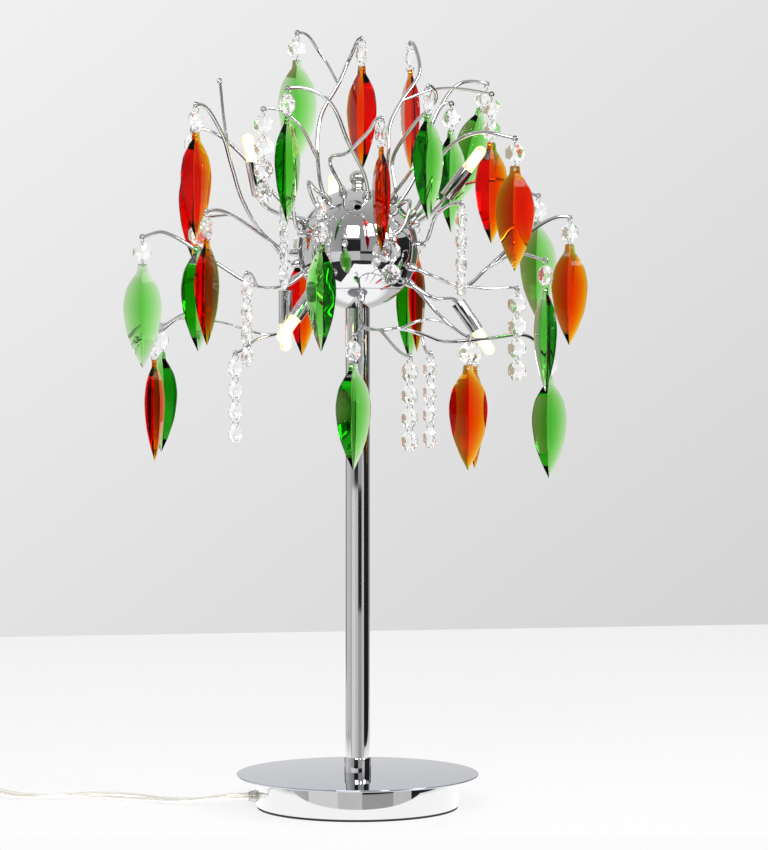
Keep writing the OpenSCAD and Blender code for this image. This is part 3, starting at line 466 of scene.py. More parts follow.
class LampColours(bpy.types.PropertyGroup):
    """Colours of the finishes."""

    chrome: colour("Chrome", "Chrome plating", (0.62, 0.62, 0.63))
    # The plate's chrome is a darker, bluish copy of the chrome: painted shade in the plate's reflection
    plate: colour("Plate", "Chrome of the base plate", (0.505, 0.525, 0.585))
    green: colour("Green glass", "What green glass lets through", (0.255, 0.837, 0.0))
    pale_green: colour("Pale green glass", "What pale green glass lets through", (0.25, 0.85, 0.0))
    amber: colour("Amber glass", "What amber glass lets through", (0.996, 0.77, 0.0))
    red: colour("Red glass", "What red glass lets through", (0.99, 0.78, 0.0))
    cord: colour("Cord", "Clear plastic of the cord", (0.95, 0.93, 0.88))
    table: colour("Table", "White table", (0.93, 0.93, 0.925))


# How strongly a leaf's glass absorbs, per metre
GLASS_DENSITY = {"green": 320, "pale_green": 250, "amber": 1500, "red": 1500}
# Cut beads gather light from all sides of a white room; a faint glow stands for it
BEAD_GLOW = 0.05


def nodes_of(name):
    """A new node material: its tree, Principled shader and output."""
    mat = bpy.data.materials.new(name)
    mat.use_nodes = True
    tree = mat.node_tree
    return mat, tree, tree.nodes["Principled BSDF"], tree.nodes["Material Output"]


def put(node, values):
    """Sets sockets of a node, each by its name."""
    for name, value in values.items():
        node.inputs[name].default_value = value


def noise(tree, scale, low, high):
    """Noise on object coordinates, spread from low to high."""
    coords = tree.nodes.new("ShaderNodeTexCoord")
    tex = tree.nodes.new("ShaderNodeTexNoise")
    put(tex, {"Scale": scale, "Detail": 3.0})
    tree.links.new(coords.outputs["Object"], tex.inputs["Vector"])
    return spread(tree, tex.outputs["Fac"], 0, 1, low, high)


def spread(tree, value, low, high, first, last):
    """value from low to high, mapped to first to last."""
    node = tree.nodes.new("ShaderNodeMapRange")
    put(node, {"From Min": low, "From Max": high, "To Min": first, "To Max": last})
    tree.links.new(value, node.inputs["Value"])
    return node.outputs["Result"]


def tinted(tree, target, fac, dark, light):
    """Links a blend of two colours by fac to a colour socket."""
    ramp = tree.nodes.new("ShaderNodeValToRGB")
    ramp.color_ramp.elements[0].color = (*dark, 1)
    ramp.color_ramp.elements[1].color = (*light, 1)
    tree.links.new(fac, ramp.inputs["Fac"])
    tree.links.new(ramp.outputs["Color"], target)


def shade(rgb, k):
    """A colour made darker or lighter by a factor."""
    return tuple(min(1.0, c * k) for c in rgb)


def reckon(tree, operation, first, second=0.0):
    """A sum on two values, each a number or a socket."""
    node = tree.nodes.new("ShaderNodeMath")
    node.operation = operation
    for socket, value in zip(node.inputs, (first, second)):
        if isinstance(value, float):
            socket.default_value = value
        else:
            tree.links.new(value, socket)
    return node.outputs["Value"]


def faded(tree, target, place, slope, span, low, high):
    """Links a colour to a socket that goes from low to high over a span along slope: over a span of
    the dot product of place and slope."""
    along = tree.nodes.new("ShaderNodeVectorMath")
    along.operation = "DOT_PRODUCT"
    along.inputs[1].default_value = slope
    tree.links.new(place, along.inputs[0])
    tinted(tree, target, spread(tree, along.outputs["Value"], *span, 0, 1), low, high)


def chrome_material(name, seam=False):
    """Bright chrome with slight haze; the ball's also has a fine groove where its parts meet. The plate's is
    a darker, bluish copy of the chrome, which paints shade into its reflection.
    """
    rgb = getattr(bpy.context.scene.lamp_colours, "plate" if name == "chrome_plate" else "chrome")
    mat, tree, bsdf, _ = nodes_of(name)
    put(bsdf, {"Metallic": 1.0})
    tinted(tree, bsdf.inputs["Base Color"], noise(tree, 25, 0, 1), shade(rgb, 0.96), shade(rgb, 1.03))
    tree.links.new(noise(tree, 60, 0.02, 0.05), bsdf.inputs["Roughness"])
    if seam:
        coords = tree.nodes.new("ShaderNodeTexCoord")
        split = tree.nodes.new("ShaderNodeSeparateXYZ")
        tree.links.new(coords.outputs["Object"], split.inputs["Vector"])
        off = reckon(tree, "ABSOLUTE", reckon(tree, "SUBTRACT", split.outputs["Z"], SEAM_Z * MM))
        groove = tree.nodes.new("ShaderNodeMapRange")
        groove.interpolation_type = "SMOOTHSTEP"
        put(groove, {"From Max": SEAM_HALF_W * MM})
        bump = tree.nodes.new("ShaderNodeBump")
        put(bump, {"Distance": SEAM_DEPTH * MM})
        tree.links.new(off, groove.inputs["Value"])
        tree.links.new(groove.outputs["Result"], bump.inputs["Height"])
        tree.links.new(bump.outputs["Normal"], bsdf.inputs["Normal"])
    return mat


def glass_material(name):
    """Cut glass with faint waves on its surface. A leaf's body absorbs light; a bead glows faintly."""
    c = bpy.context.scene.lamp_colours
    mat, tree, bsdf, out = nodes_of(name + "_glass")
    put(bsdf, {"Transmission Weight": 1.0, "IOR": 1.52})
    tinted(tree, bsdf.inputs["Base Color"], noise(tree, 30, 0.2, 0.8), (0.93, 0.93, 0.93), (1, 1, 1))
    tree.links.new(noise(tree, 40, 0.0, 0.012), bsdf.inputs["Roughness"])
    if name == "clear":
        put(bsdf, {"Emission Color": (1, 1, 1, 1), "Emission Strength": BEAD_GLOW})
    else:
        put(bsdf, {"Specular Tint": (0.25, 0.25, 0.25, 1)})
        body = tree.nodes.new("ShaderNodeVolumeAbsorption")
        put(body, {"Color": (*getattr(c, name), 1), "Density": GLASS_DENSITY[name]})
        tree.links.new(body.outputs["Volume"], out.inputs["Volume"])
    return mat


def plastic_material(name, rgb, roughness, grain):
    """Moulded plastic, ceramic, felt or card: colour and gloss vary with a fine grain."""
    mat, tree, bsdf, _ = nodes_of(name)
    tinted(tree, bsdf.inputs["Base Color"], noise(tree, grain, 0, 1), shade(rgb, 0.9), shade(rgb, 1.06))
    gloss = noise(tree, grain * 2, roughness * 0.85, min(1, roughness * 1.15))
    tree.links.new(gloss, bsdf.inputs["Roughness"])
    return mat


def clear_plastic_material(name):
    """Clear soft plastic of the cord and its bush."""
    rgb = bpy.context.scene.lamp_colours.cord
    mat, tree, bsdf, _ = nodes_of(name)
    put(bsdf, {"Transmission Weight": 0.75, "IOR": 1.45})
    tinted(tree, bsdf.inputs["Base Color"], noise(tree, 80, 0, 1), shade(rgb, 0.95), shade(rgb, 1.05))
    tree.links.new(noise(tree, 120, 0.12, 0.22), bsdf.inputs["Roughness"])
    return mat


def metal_material(name, rgb, low, high, grain):
    """Plain metal with rough patches."""
    mat, tree, bsdf, _ = nodes_of(name)
    put(bsdf, {"Metallic": 1.0})
    tinted(tree, bsdf.inputs["Base Color"], noise(tree, grain, 0, 1), shade(rgb, 0.8), rgb)
    tree.links.new(noise(tree, grain, low, high), bsdf.inputs["Roughness"])
    return mat


def glow_material(name, middle, edge, strength, clear):
    """Part of a lit lamp: paler in its middle than at its edge; a share of it may be clear glass."""
    mat, tree, bsdf, _ = nodes_of(name)
    put(bsdf, {
        "Base Color": (1, 0.9, 0.74, 1) if clear else (0.1, 0.08, 0.05, 1), "Roughness": 0.05,
        "IOR": 1.47, "Transmission Weight": clear, "Emission Strength": strength,
    })
    facing = tree.nodes.new("ShaderNodeLayerWeight")
    put(facing, {"Blend": 0.4})
    tinted(tree, bsdf.inputs["Emission Color"], facing.outputs["Facing"], middle, edge)
    return mat


# Finishes: the function that makes each, and the values that it takes after the name
FINISHES = {
    "chrome": (chrome_material,),
    "chrome_plate": (chrome_material,),
    "chrome_ball": (chrome_material, True),
    "green": (glass_material,),
    "pale_green": (glass_material,),
    "amber": (glass_material,),
    "red": (glass_material,),
    "clear": (glass_material,),
    "bulb": (glow_material, (1, 0.86, 0.55), (1, 0.68, 0.3), 0.4, 1.0),
    "glow": (glow_material, (1, 0.93, 0.72), (1, 0.72, 0.32), 4.0, 0.0),
    "clear_plastic": (clear_plastic_material,),
    "white_plastic": (plastic_material, (0.68, 0.68, 0.66), 0.35, 300),
    "ceramic": (plastic_material, (0.84, 0.81, 0.74), 0.55, 500),
    # Felt under the drum, near-black so that it also paints the shadow line under the drum
    "felt": (plastic_material, (0.02, 0.025, 0.025), 0.95, 2500),
    "iron": (metal_material, (0.3, 0.3, 0.3), 0.5, 0.8, 200),
    "steel": (metal_material, (0.7, 0.7, 0.69), 0.2, 0.4, 120),
    "tinned_copper": (metal_material, (0.93, 0.89, 0.81), 0.3, 0.5, 900),
}
MADE = {}


def material(name):
    """The material of that finish, made at its first use."""
    if name not in MADE:
        maker, *values = FINISHES[name]
        MADE[name] = maker(name, *values)
    return MADE[name]


def finish_node(node, name):
    """Gives a CAD node that stays in view its material."""
    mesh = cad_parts[node].data
    mesh.materials.clear()
    mesh.materials.append(material(name))


def look_matrix(place, aim):
    """Matrix of a camera or light at place that looks at aim with its top up."""
    back = unit(np.subtract(place, aim))
    right = unit(np.cross([0, 0, 1] if abs(back[2]) < 0.99 else [0, 1, 0], back))
    up = np.cross(back, right)
    return Matrix([[*r, p] for r, p in zip(np.stack([right, up, back], 1), place)] + [[0, 0, 0, 1]])


def add_stage(name, mesh, mat, camera=False, room=True, glass=True):
    """An object of the stage for mesh. The camera sees only what is asked, so that nothing stands
    before the lamp; what belongs to the room shows in the chrome, and may show through the glass."""
    mesh.materials.append(mat)
    obj = bpy.data.objects.new(name, mesh)
    bpy.context.scene.collection.objects.link(obj)
    obj.visible_camera = camera
    obj.visible_diffuse = obj.visible_glossy = obj.visible_shadow = room
    obj.visible_transmission = glass


def panel(name, corners, mat, camera=False, room=True, glass=True):
    """A flat four-cornered piece of the stage."""
    mesh = bpy.data.meshes.new(name)
    mesh.from_pydata(corners, [], [(0, 1, 2, 3)])
    add_stage(name, mesh, mat, camera, room, glass)


def level(outline, z):
    """Corners of a level panel from its outline in plan."""
    return [(x, y, z) for x, y in outline]


def upright(left, right, y, foot, top):
    """Corners of an upright panel that faces the camera."""
    return [(left, y, foot), (right, y, foot), (right, y, top), (left, y, top)]


def arc(name, first, last, foot, top, reach, mat, glass):
    """A bent upright card of the room, between two azimuths in degrees from the front, at the
    distance reach: the point at azimuth a is (reach sin a, -reach cos a)."""
    a = np.radians(np.linspace(first, last, ARC_POINTS))
    low = np.stack([reach * np.sin(a), -reach * np.cos(a), np.full(ARC_POINTS, foot)], -1)
    high = low + [0, 0, top - foot]
    j = np.arange(ARC_POINTS - 1)
    faces = np.stack([j, j + 1, j + ARC_POINTS + 1, j + ARC_POINTS], -1)
    mesh = bpy.data.meshes.new(name)
    mesh.from_pydata(np.vstack([low, high]), [], faces.tolist())
    add_stage(name, mesh, mat, glass=glass)


def card_material(name, rgb):
    """A card of the room that shows as an even colour."""
    mat, tree, bsdf, _ = nodes_of(name)
    put(bsdf, {"Base Color": (0, 0, 0, 1), "Emission Strength": 1.0})
    tinted(tree, bsdf.inputs["Emission Color"], noise(tree, 2, 0, 1), shade(rgb, 0.92), shade(rgb, 1.05))
    return mat


def sky(tree, slope, span, low, high):
    """World light that goes from low to high over a span along slope."""
    coords = tree.nodes.new("ShaderNodeTexCoord")
    light = tree.nodes.new("ShaderNodeBackground")
    faded(tree, light.inputs["Color"], coords.outputs["Generated"], slope, span, low, high)
    return light.outputs["Background"]


def backdrop_material(name, grey, low, high, slope, span, share=1.0, mirrored=(0, 0)):
    """Table or wall: to the camera and through glass a share of it is a set glow, which goes from
    low to high over a span along slope; in chrome it's all glow, brighter by the first of mirrored
    near the lamp and by the second farther off."""
    mat, tree, bsdf, out = nodes_of(name)
    tinted(tree, bsdf.inputs["Base Color"], noise(tree, 6, 0, 1), (grey * 0.985,) * 3, (grey,) * 3)
    put(bsdf, {"Roughness": 0.5})
    place = tree.nodes.new("ShaderNodeTexCoord").outputs["Object"]
    glow = tree.nodes.new("ShaderNodeEmission")
    faded(tree, glow.inputs["Color"], place, slope, span, low, high)
    away = tree.nodes.new("ShaderNodeVectorMath")
    away.operation = "LENGTH"
    tree.links.new(place, away.inputs[0])
    gain = spread(tree, away.outputs["Value"], MIRROR_NEAR, MIRROR_FAR, *mirrored)
    path = tree.nodes.new("ShaderNodeLightPath")
    glossy = path.outputs["Is Glossy Ray"]
    seen = reckon(tree, "MAXIMUM", path.outputs["Is Camera Ray"], path.outputs["Is Transmission Ray"])
    strength = reckon(tree, "ADD", reckon(tree, "MULTIPLY", glossy, gain), 1.0)
    tree.links.new(strength, glow.inputs["Strength"])
    mix = tree.nodes.new("ShaderNodeMixShader")
    fac = reckon(tree, "MAXIMUM", reckon(tree, "MULTIPLY", seen, share), glossy)
    tree.links.new(fac, mix.inputs["Fac"])
    tree.links.new(bsdf.outputs["BSDF"], mix.inputs[1])
    tree.links.new(glow.outputs["Emission"], mix.inputs[2])
    tree.links.new(mix.outputs["Shader"], out.inputs["Surface"])
    return mat


def stage_world():
    """A world whose room light is darker in front. To the camera it has the wall's shading, so
    that no wall stands before the lamp in other views."""
    world = bpy.data.worlds.new("studio")
    world.use_nodes = True
    tree = world.node_tree
    path = tree.nodes.new("ShaderNodeLightPath")
    mix = tree.nodes.new("ShaderNodeMixShader")
    tree.links.new(path.outputs["Is Camera Ray"], mix.inputs["Fac"])
    tree.links.new(sky(tree, *ROOM_SKY), mix.inputs[1])
    tree.links.new(sky(tree, *WALL_SKY), mix.inputs[2])
    tree.links.new(mix.outputs["Shader"], tree.nodes["World Output"].inputs["Surface"])
    return world


class LAMP_OT_stage(bpy.types.Operator):
    """Sets the white table, pale wall, light and camera"""

    bl_idname = "lamp.stage"
    bl_label = "Stage and camera"

    def execute(self, context):
        scene = context.scene
        scene.view_settings.view_transform = "Standard"
        # The table's rear edge slants, its cloth hangs over the front edge and a sheet lies below
        white, back = scene.lamp_colours.table[0], (0, 1, 0)
        near, far = (1.0, 1.0, 1.0), (0.955, 0.953, 0.947)
        table = backdrop_material(
            "table", white, near, far, back, span=(0, 1.4), share=0.75, mirrored=(0.45, -0.22)
        )
        cloth = backdrop_material("cloth", white, near, near, back, span=(0, 1), mirrored=(0.5, 0.5))
        floor = backdrop_material("floor", white, shade(near, 0.975), far, back, span=(0, 1.4))
        wall = backdrop_material("wall", 0.75, *WALL_SHADES, slope=(-0.085, 0, 0.11), span=(-0.12, 0.22))
        panel("table", level(TABLE, 0), table, camera=True)
        panel("floor", level(FLOOR, FLOOR_Z), floor, camera=True, room=False, glass=False)
        panel("table_front", upright(*TABLE_FRONT), cloth)
        panel("wall", upright(*WALL), wall)
        shades = {"dark": plastic_material("dark_card", (0.012, 0.012, 0.016), 0.8, 4)}
        panel("room_floor", level(ROOM_FLOOR, ROOM_FLOOR_Z), shades["dark"], glass=False)
        panel("sheet", level(SHEET, SHEET_Z), cloth)
        dim = card_material("dim", (0.12, 0.12, 0.12))
        panel("left_card", upright(*LEFT_CARD), dim, glass=False)
        panel("right_card", upright(*RIGHT_CARD), dim, glass=False)
        # Glass shows a warm card where chrome shows a dim one
        panel("warm_card", upright(*RIGHT_CARD), card_material("warm", (0.34, 0.28, 0.16)), room=False)
        for name, grey in (("bright", 1.0), ("light", 0.75), ("grey", 0.45)):
            shades[name] = card_material(name, (grey,) * 3)
        for name, first, last, foot, top, reach, tone in ROOM_CARDS:
            arc(name, first, last, foot, top, reach, shades[tone], glass=tone != "dark")
        for name, place, wide, high, power in LIGHTS:
            light = bpy.data.lights.new(name, "AREA")
            light.shape = "RECTANGLE"
            light.size, light.size_y, light.energy = wide, high, power
            lamp = bpy.data.objects.new(name, light)
            lamp.matrix_world = look_matrix(place, LIGHT_AIM)
            scene.collection.objects.link(lamp)
        scene.world = stage_world()
        camera = bpy.data.cameras.new("camera")
        camera.lens, camera.sensor_width = LENS_MM, SENSOR_MM
        scene.camera = bpy.data.objects.new("camera", camera)
        scene.camera.matrix_world = look_matrix(CAMERA, CAMERA_AIM)
        scene.collection.objects.link(scene.camera)
        return {"FINISHED"}


def cord_path():
    """The cord's middle line: through the switch to the coil, round it and to the plug. In the coil
    the radius falls by COIL_STEP a turn and grows again, and in between the height climbs."""
    out = smooth_path(CORD_TO_COIL, [-1, 0, 0], [-1, 0, 0], CORD_STEP)
    s = np.linspace(0, 2 * COIL_TURNS, int(2 * COIL_TURNS * COIL_POINTS) + 1)
    climb = np.clip(2 * (s - COIL_TURNS) + 0.5, 0, 1)
    climb = climb**2 * (3 - 2 * climb)
    r = COIL_R - COIL_STEP * (COIL_TURNS - np.abs(s - COIL_TURNS))
    a = np.pi / 2 + 2 * np.pi * s
    coil = np.stack([
        COIL_C[0] + r * np.cos(a), COIL_C[1] + r * np.sin(a),
        COIL_LOW_Z + (COIL_HIGH_Z - COIL_LOW_Z) * climb,
    ], -1)
    back = smooth_path(CORD_TO_PLUG, [1, 0, 0], [0, -1, 0], CORD_STEP)
    return np.vstack([out, coil, back])


def cord_axes(path, run, half_turn):
    """Directions across the flat cord and along its width. It twists half round in each half_turn
    up to the switch, goes on to the nearest whole half turn in it, and stands on edge after it."""
    at_switch = run[np.argmax(path[:, 0] < SWITCH_X)]
    full = round(at_switch / half_turn) * 180
    inside = np.clip((run - at_switch) / SWITCH_L, 0, 1)
    later = at_switch * 180 / half_turn * (1 - inside) + full * inside
    roll = np.radians(np.where(run < at_switch, run * 180 / half_turn, later))[:, None]
    dirs = path_dirs(path)
    side = unit(np.cross(dirs, [0, 0, 1]))
    up = np.cross(side, dirs)
    return np.cos(roll) * side + np.sin(roll) * up, np.cos(roll) * up - np.sin(roll) * side


def cord_shape(path, across, wide, lobe_r, lobe_off):
    """The twin cord: at each point a section of two round lobes, lobe_off to either side, whose
    point at angle b is lobe_r cos b across and lobe_off + lobe_r sin b along the width."""
    b = np.radians(np.concatenate([
        np.linspace(-GROOVE, 180 + GROOVE, LOBE_POINTS),
        np.linspace(180 - GROOVE, 360 + GROOVE, LOBE_POINTS),
    ]))
    lobe = np.repeat([1.0, -1.0], LOBE_POINTS)
    ring = (lobe_r * np.cos(b))[None, :, None] * across[:, None]
    ring = ring + (lobe * lobe_off + lobe_r * np.sin(b))[None, :, None] * wide[:, None]
    return capped(path[:, None] + ring)


def tie_shape():
    """The tie of the coil: a flat band carried along straight lines round its loop."""
    h = np.array(TIE_LOOP + TIE_LOOP[:1])
    g = np.linspace(0, 1, TIE_POINTS + 1)[:-1]
    loop = (h[:-1, None] * (1 - g)[None, :, None] + h[1:, None] * g[None, :, None]).reshape(-1, 2)
    step = unit(np.roll(loop, -1, 0) - np.roll(loop, 1, 0))
    normal = np.stack([step[:, 1], -step[:, 0]], -1)
    band = []
    for out, along in ((1, -1), (1, 1), (-1, 1), (-1, -1)):
        q = loop + out * TIE_HALF_T * normal
        y = np.full(len(q), COIL_C[1] + along * TIE_HALF_W)
        band.append(np.stack([COIL_C[0] - q[:, 0], y, q[:, 1]], -1))
    index = np.arange(4 * len(loop)).reshape(-1, 4)
    return np.stack(band, 1).reshape(-1, 3), grid_faces(index, True)


class LAMP_OT_cord(bpy.types.Operator):
    """Lays the clear twin cord from the base through the switch to the coil and the plug"""

    bl_idname = "lamp.cord"
    bl_label = "Cord, switch and plug"

    def execute(self, context):
        sizes = context.scene.lamp_sizes
        path = cord_path()
        run = np.concatenate([[0], np.cumsum(np.linalg.norm(np.diff(path, axis=0), axis=1))])
        across, wide = cord_axes(path, run, sizes.cord_half_turn / MM)
        lobe_r, lobe_off = sizes.cord_t / MM / 2, (sizes.cord_w - sizes.cord_t) / MM / 2
        shape = cord_shape(path, across, wide, lobe_r, lobe_off)
        cord = fixed_piece("cord", [shape], "clear_plastic", angle=50)
        cores = [tube(path + side * lobe_off * wide, CORE_R, sides=8) for side in (1, -1)]
        wires = fixed_piece("cord_wires", cores, "tinned_copper", angle=60)
        tie = fixed_piece("coil_tie", [tie_shape()], "white_plastic")
        # The pins are bare metal at their ends and sleeved with plastic next to the plug
        tip = rounded(block(PIN_TIP_R, -PIN_TIP_L, PIN_PROUD), PIN_TIP_EDGE)
        pins = [revolve(tip, end, (0, -1, 0), sides=24) for end in PIN_ENDS]
        tips = fixed_piece("plug_pin_tips", pins, "steel")
        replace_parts(cord, "mains_cord", "cord_coil")
        for node in ("switch_case", "switch_rocker", "plug"):
            finish_node(node, "white_plastic")
        finish_node("cord_bush", "clear_plastic")
        return {"FINISHED"}


def ball_profile():
    """Profile of the ball's shell along the axis of its open hole: the rim, the outside from the hole
    round to the far pole, and the inside back again."""
    b = np.linspace(math.asin(HOLE_R / BALL_R) + HOLE_MARGIN, np.pi, 96)
    outside, inside = bow(b, BALL_R, BALL_R), bow(b[::-1], BALL_IN_R, BALL_IN_R)
    return np.vstack([HOLE_RIM, outside, inside, HOLE_BACK])


def finial_profile():
    """Profile of the finial: a straight foot and a round knob, between the CAD's foot and top."""
    low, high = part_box("finial")
    foot, middle = low.z / MM, high.z / MM - FINIAL_R
    knob = bow(np.linspace(math.radians(FINIAL_ARC), 0, 28), FINIAL_R, FINIAL_R, middle)
    neck = [[0, foot], [FINIAL_FOOT_R, foot], [FINIAL_FOOT_R, middle - FINIAL_NECK]]
    return np.vstack([neck, knob])


class LAMP_OT_base(bpy.types.Operator):
    """Makes the chrome base, stem, ball and finial, and finishes what is inside them"""

    bl_idname = "lamp.base"
    bl_label = "Base, stem and ball"

    def execute(self, context):
        plate = rounded(block(PLATE_R, PLATE_Z, PLATE_TOP), PLATE_EDGE)
        # The plate takes the darker, bluish copy of the chrome, which paints shade into its reflection
        obj = fixed_piece("base_plate_chrome", [revolve(plate, sides=192)], "chrome_plate")
        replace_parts(obj, "base_plate")
        drum = [[DRUM_LIP_R, DRUM_Z], [DRUM_R, DRUM_Z], [DRUM_R, DRUM_TOP], [0, DRUM_TOP]]
        inside = [[0, DRUM_ROOF], [DRUM_IN_R, DRUM_ROOF], [DRUM_IN_R, DRUM_Z]]
        drum = np.vstack([rounded(drum, DRUM_EDGE), inside])
        obj = fixed_piece("base_drum_chrome", [revolve(drum, sides=192, closed=True)], "chrome")
        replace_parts(obj, "base_drum")
        lip = BALL_C[2] - math.sqrt((BALL_R + BALL_SEAT) ** 2 - STEM_R**2)
        stem = [[STEM_IN_R, STEM_Z], [STEM_R, STEM_Z], [STEM_R, lip], [STEM_IN_R, lip]]
        obj = fixed_piece("stem_chrome", [revolve(stem, sides=96, closed=True)], "chrome")
        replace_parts(obj, "stem")
        collar = [
            [COLLAR_IN_R, STEM_Z], [COLLAR_R, STEM_Z], [COLLAR_R, COLLAR_SHOULDER], *COLLAR_ROUND,
            [COLLAR_IN_R, COLLAR_TOP],
        ]
        obj = fixed_piece("stem_collar_chrome", [revolve(collar, sides=96, closed=True)], "chrome", angle=30)
        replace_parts(obj, "stem_collar")
        # The ball is turned about the axis of its open hole, so the hole's rim is a ring of it
        ball = revolve(ball_profile(), BALL_C, ball_dir(SPARE_HOLE), sides=192, closed=True)
        obj = fixed_piece("ball_chrome", [ball], "chrome_ball")
        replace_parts(obj, "ball_upper", "ball_lower")
        obj = fixed_piece("finial_chrome", [revolve(finial_profile(), sides=64)], "chrome", angle=35)
        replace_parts(obj, "finial")
        for node, finish in (
            # The felt ring is near-black: felt, and a painted shadow line under the drum as well
            ("base_felt", "felt"), ("base_weight", "iron"), ("transformer", "white_plastic"),
            ("tie_rod", "steel"), ("rod_nuts", "steel"),
        ):
            finish_node(node, finish)
        return {"FINISHED"}


def ferrule_shape(place, wire_d):
    """A tapered ferrule on the ball with rounded ends."""
    neck_r = wire_d / 2 + FERRULE_WALL
    outline = [[0, FERRULE_FOOT], [FERRULE_R, FERRULE_FOOT], [neck_r, FERRULE_TOP], [0, FERRULE_TOP]]
    return revolve(rounded(outline, FERRULE_EDGE), BALL_C, ball_dir(place), sides=28)


class LAMP_OT_twigs(bpy.types.Operator):
    """Bends the chrome wire twigs with their ferrules and eyes"""

    bl_idname = "lamp.twigs"
    bl_label = "Twigs"

    def execute(self, context):
        sizes = context.scene.lamp_sizes
        parts = []
        for node, _, _, root, vias, tip, heading, _ in PENDANTS + [BARE_TWIG]:
            from_ball = len(root) == 2
            d = (sizes.twig_d if from_ball else sizes.side_twig_d) / MM
            start = BALL_C + WIRE_ROOT_R * ball_dir(root) if from_ball else np.array(root, float)
            tip = np.array(tip, float)
            last = heading_dir(heading, BARE_PITCH if node == "bare" else TIP_PITCH)
            points = np.vstack([start, *vias, tip - EYE_R * last])
            first = ball_dir(root) if from_ball else unit(points[1] - start)
            parts.append(tube(smooth_path(points, first, last, WIRE_STEP), d / 2, sides=14))
            parts.append(ring_shape(tip, heading_dir(heading + 90, 0), EYE_R, EYE_HALF_W, EYE_HALF_T))
            if from_ball:
                parts.append(ferrule_shape(root, d))
        obj = fixed_piece("twigs_chrome", parts, "chrome")
        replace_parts(obj, "twigs")
        return {"FINISHED"}


class LAMP_OT_lights(bpy.types.Operator):
    """Makes the capsule lamps with their sleeves, sockets and arms"""

    bl_idname = "lamp.lights"
    bl_label = "Capsule lamps"

    def execute(self, context):
        d = context.scene.lamp_sizes.arm_d / MM
        wall = rounded([
            [0, 0], [SLEEVE_R, 0], [SLEEVE_R, SLEEVE_TOP], [SLEEVE_IN_R, SLEEVE_TOP],
            [SLEEVE_IN_R, SLEEVE_FLOOR], [0, SLEEVE_FLOOR],
        ], SLEEVE_EDGE)
        socket = rounded(block(SOCKET_R, SOCKET_FOOT, SOCKET_TOP), SOCKET_EDGE)
        dome = np.linspace(np.pi / 2, 0, 10)
        cap = bow(dome, BULB_R, BULB_R, BULB_DOME)
        capsule = np.vstack([[[0, BULB_FOOT], [BULB_R, BULB_FOOT]], cap])
        core = np.vstack([GLOW_FOOT, bow(dome, GLOW_R, GLOW_DOME_H, GLOW_DOME)])
        arms, sleeves, sockets, bulbs, glows = [], [], [], [], []
        for root, vias, foot, aim in LAMPS:
            foot, axis = np.array(foot, float), unit(np.array(aim, float) - foot)
            points = np.vstack([BALL_C + WIRE_ROOT_R * ball_dir(root), *vias, foot])
            arms.append(tube(smooth_path(points, ball_dir(root), axis, WIRE_STEP), d / 2, sides=16))
            arms.append(ferrule_shape(root, d))
            sleeves.append(revolve(wall, foot, axis, sides=48))
            sockets.append(revolve(socket, foot, axis, sides=32))
            bulbs.append(revolve(capsule, foot, axis, sides=40))
            glows.append(revolve(core, foot, axis, sides=20))
        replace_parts(fixed_piece("lamp_arms_chrome", arms, "chrome"), "lamp_arms")
        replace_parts(fixed_piece("lamp_sleeves_chrome", sleeves, "chrome"), "lamp_sleeves")
        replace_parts(fixed_piece("bulb_sockets_ceramic", sockets, "ceramic"), "bulb_sockets")
        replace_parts(fixed_piece("bulbs_glass", bulbs, "bulb"), "bulbs")
        fixed_piece("bulbs_glow", glows, "glow")
        return {"FINISHED"}


def monotone(x, y, at):
    """Values at of the smooth curve through x and y that doesn't overshoot: cubic stretches whose
    slopes are the weighted harmonic means of their neighbours'."""
    h, d = np.diff(x), np.diff(y) / np.diff(x)
    w1, w2 = 2 * h[1:] + h[:-1], h[1:] + 2 * h[:-1]
    same = d[:-1] * d[1:] > 0
    safe = np.where(same, d[:-1], 1), np.where(same, d[1:], 1)
    m = np.where(same, (w1 + w2) / (w1 / safe[0] + w2 / safe[1]), 0)
    m = np.concatenate([[d[0]], m, [d[-1]]])
    i = np.clip(np.searchsorted(x, at, "right") - 1, 0, len(h) - 1)
    s = (at - x[i]) / h[i]
    return cubic(s, y[i], y[i + 1], h[i] * m[i], h[i] * m[i + 1])


def leaf_mesh(sizes):
    """A leaf that hangs from its hole at the origin: eight-sided sections down its length, with a
    ridge before and behind and a blunt rim, whose width and thickness follow smooth curves
    through the CAD's stations."""
    wide = np.concatenate([LEAF_NECK_W, np.array(LEAF_WIDTHS) * sizes.leaf_w / MM])
    thick = np.concatenate([LEAF_NECK_T, np.array(LEAF_DEPTHS) * (sizes.leaf_t / MM + LEAF_CROWN)])
    at = np.concatenate([[0], np.linspace(LEAF_FIRST, LEAF_LAST, LEAF_SECTIONS), [1]])
    width, depth = (monotone(np.array(LEAF_SHARES), v, at) for v in (wide, thick))
    width[0] *= LEAF_TOP_W
    depth[0] *= LEAF_TOP_T
    front = np.array([[1, LEAF_RIM], [LEAF_RIDGE, 1], [-LEAF_RIDGE, 1], [-1, LEAF_RIM]])
    corner = np.vstack([front, -front])
    grid = np.empty((len(at), len(corner), 3))
    grid[..., 0] = corner[None, :, 0] * width[:, None] / 2
    grid[..., 1] = corner[None, :, 1] * depth[:, None] / 2
    grid[..., 2] = LEAF_TOP - at[:, None] * sizes.leaf_l / MM
    return drilled("leaf", mesh_of("leaf", [capped(grid)]), [(0, 0, 0)])


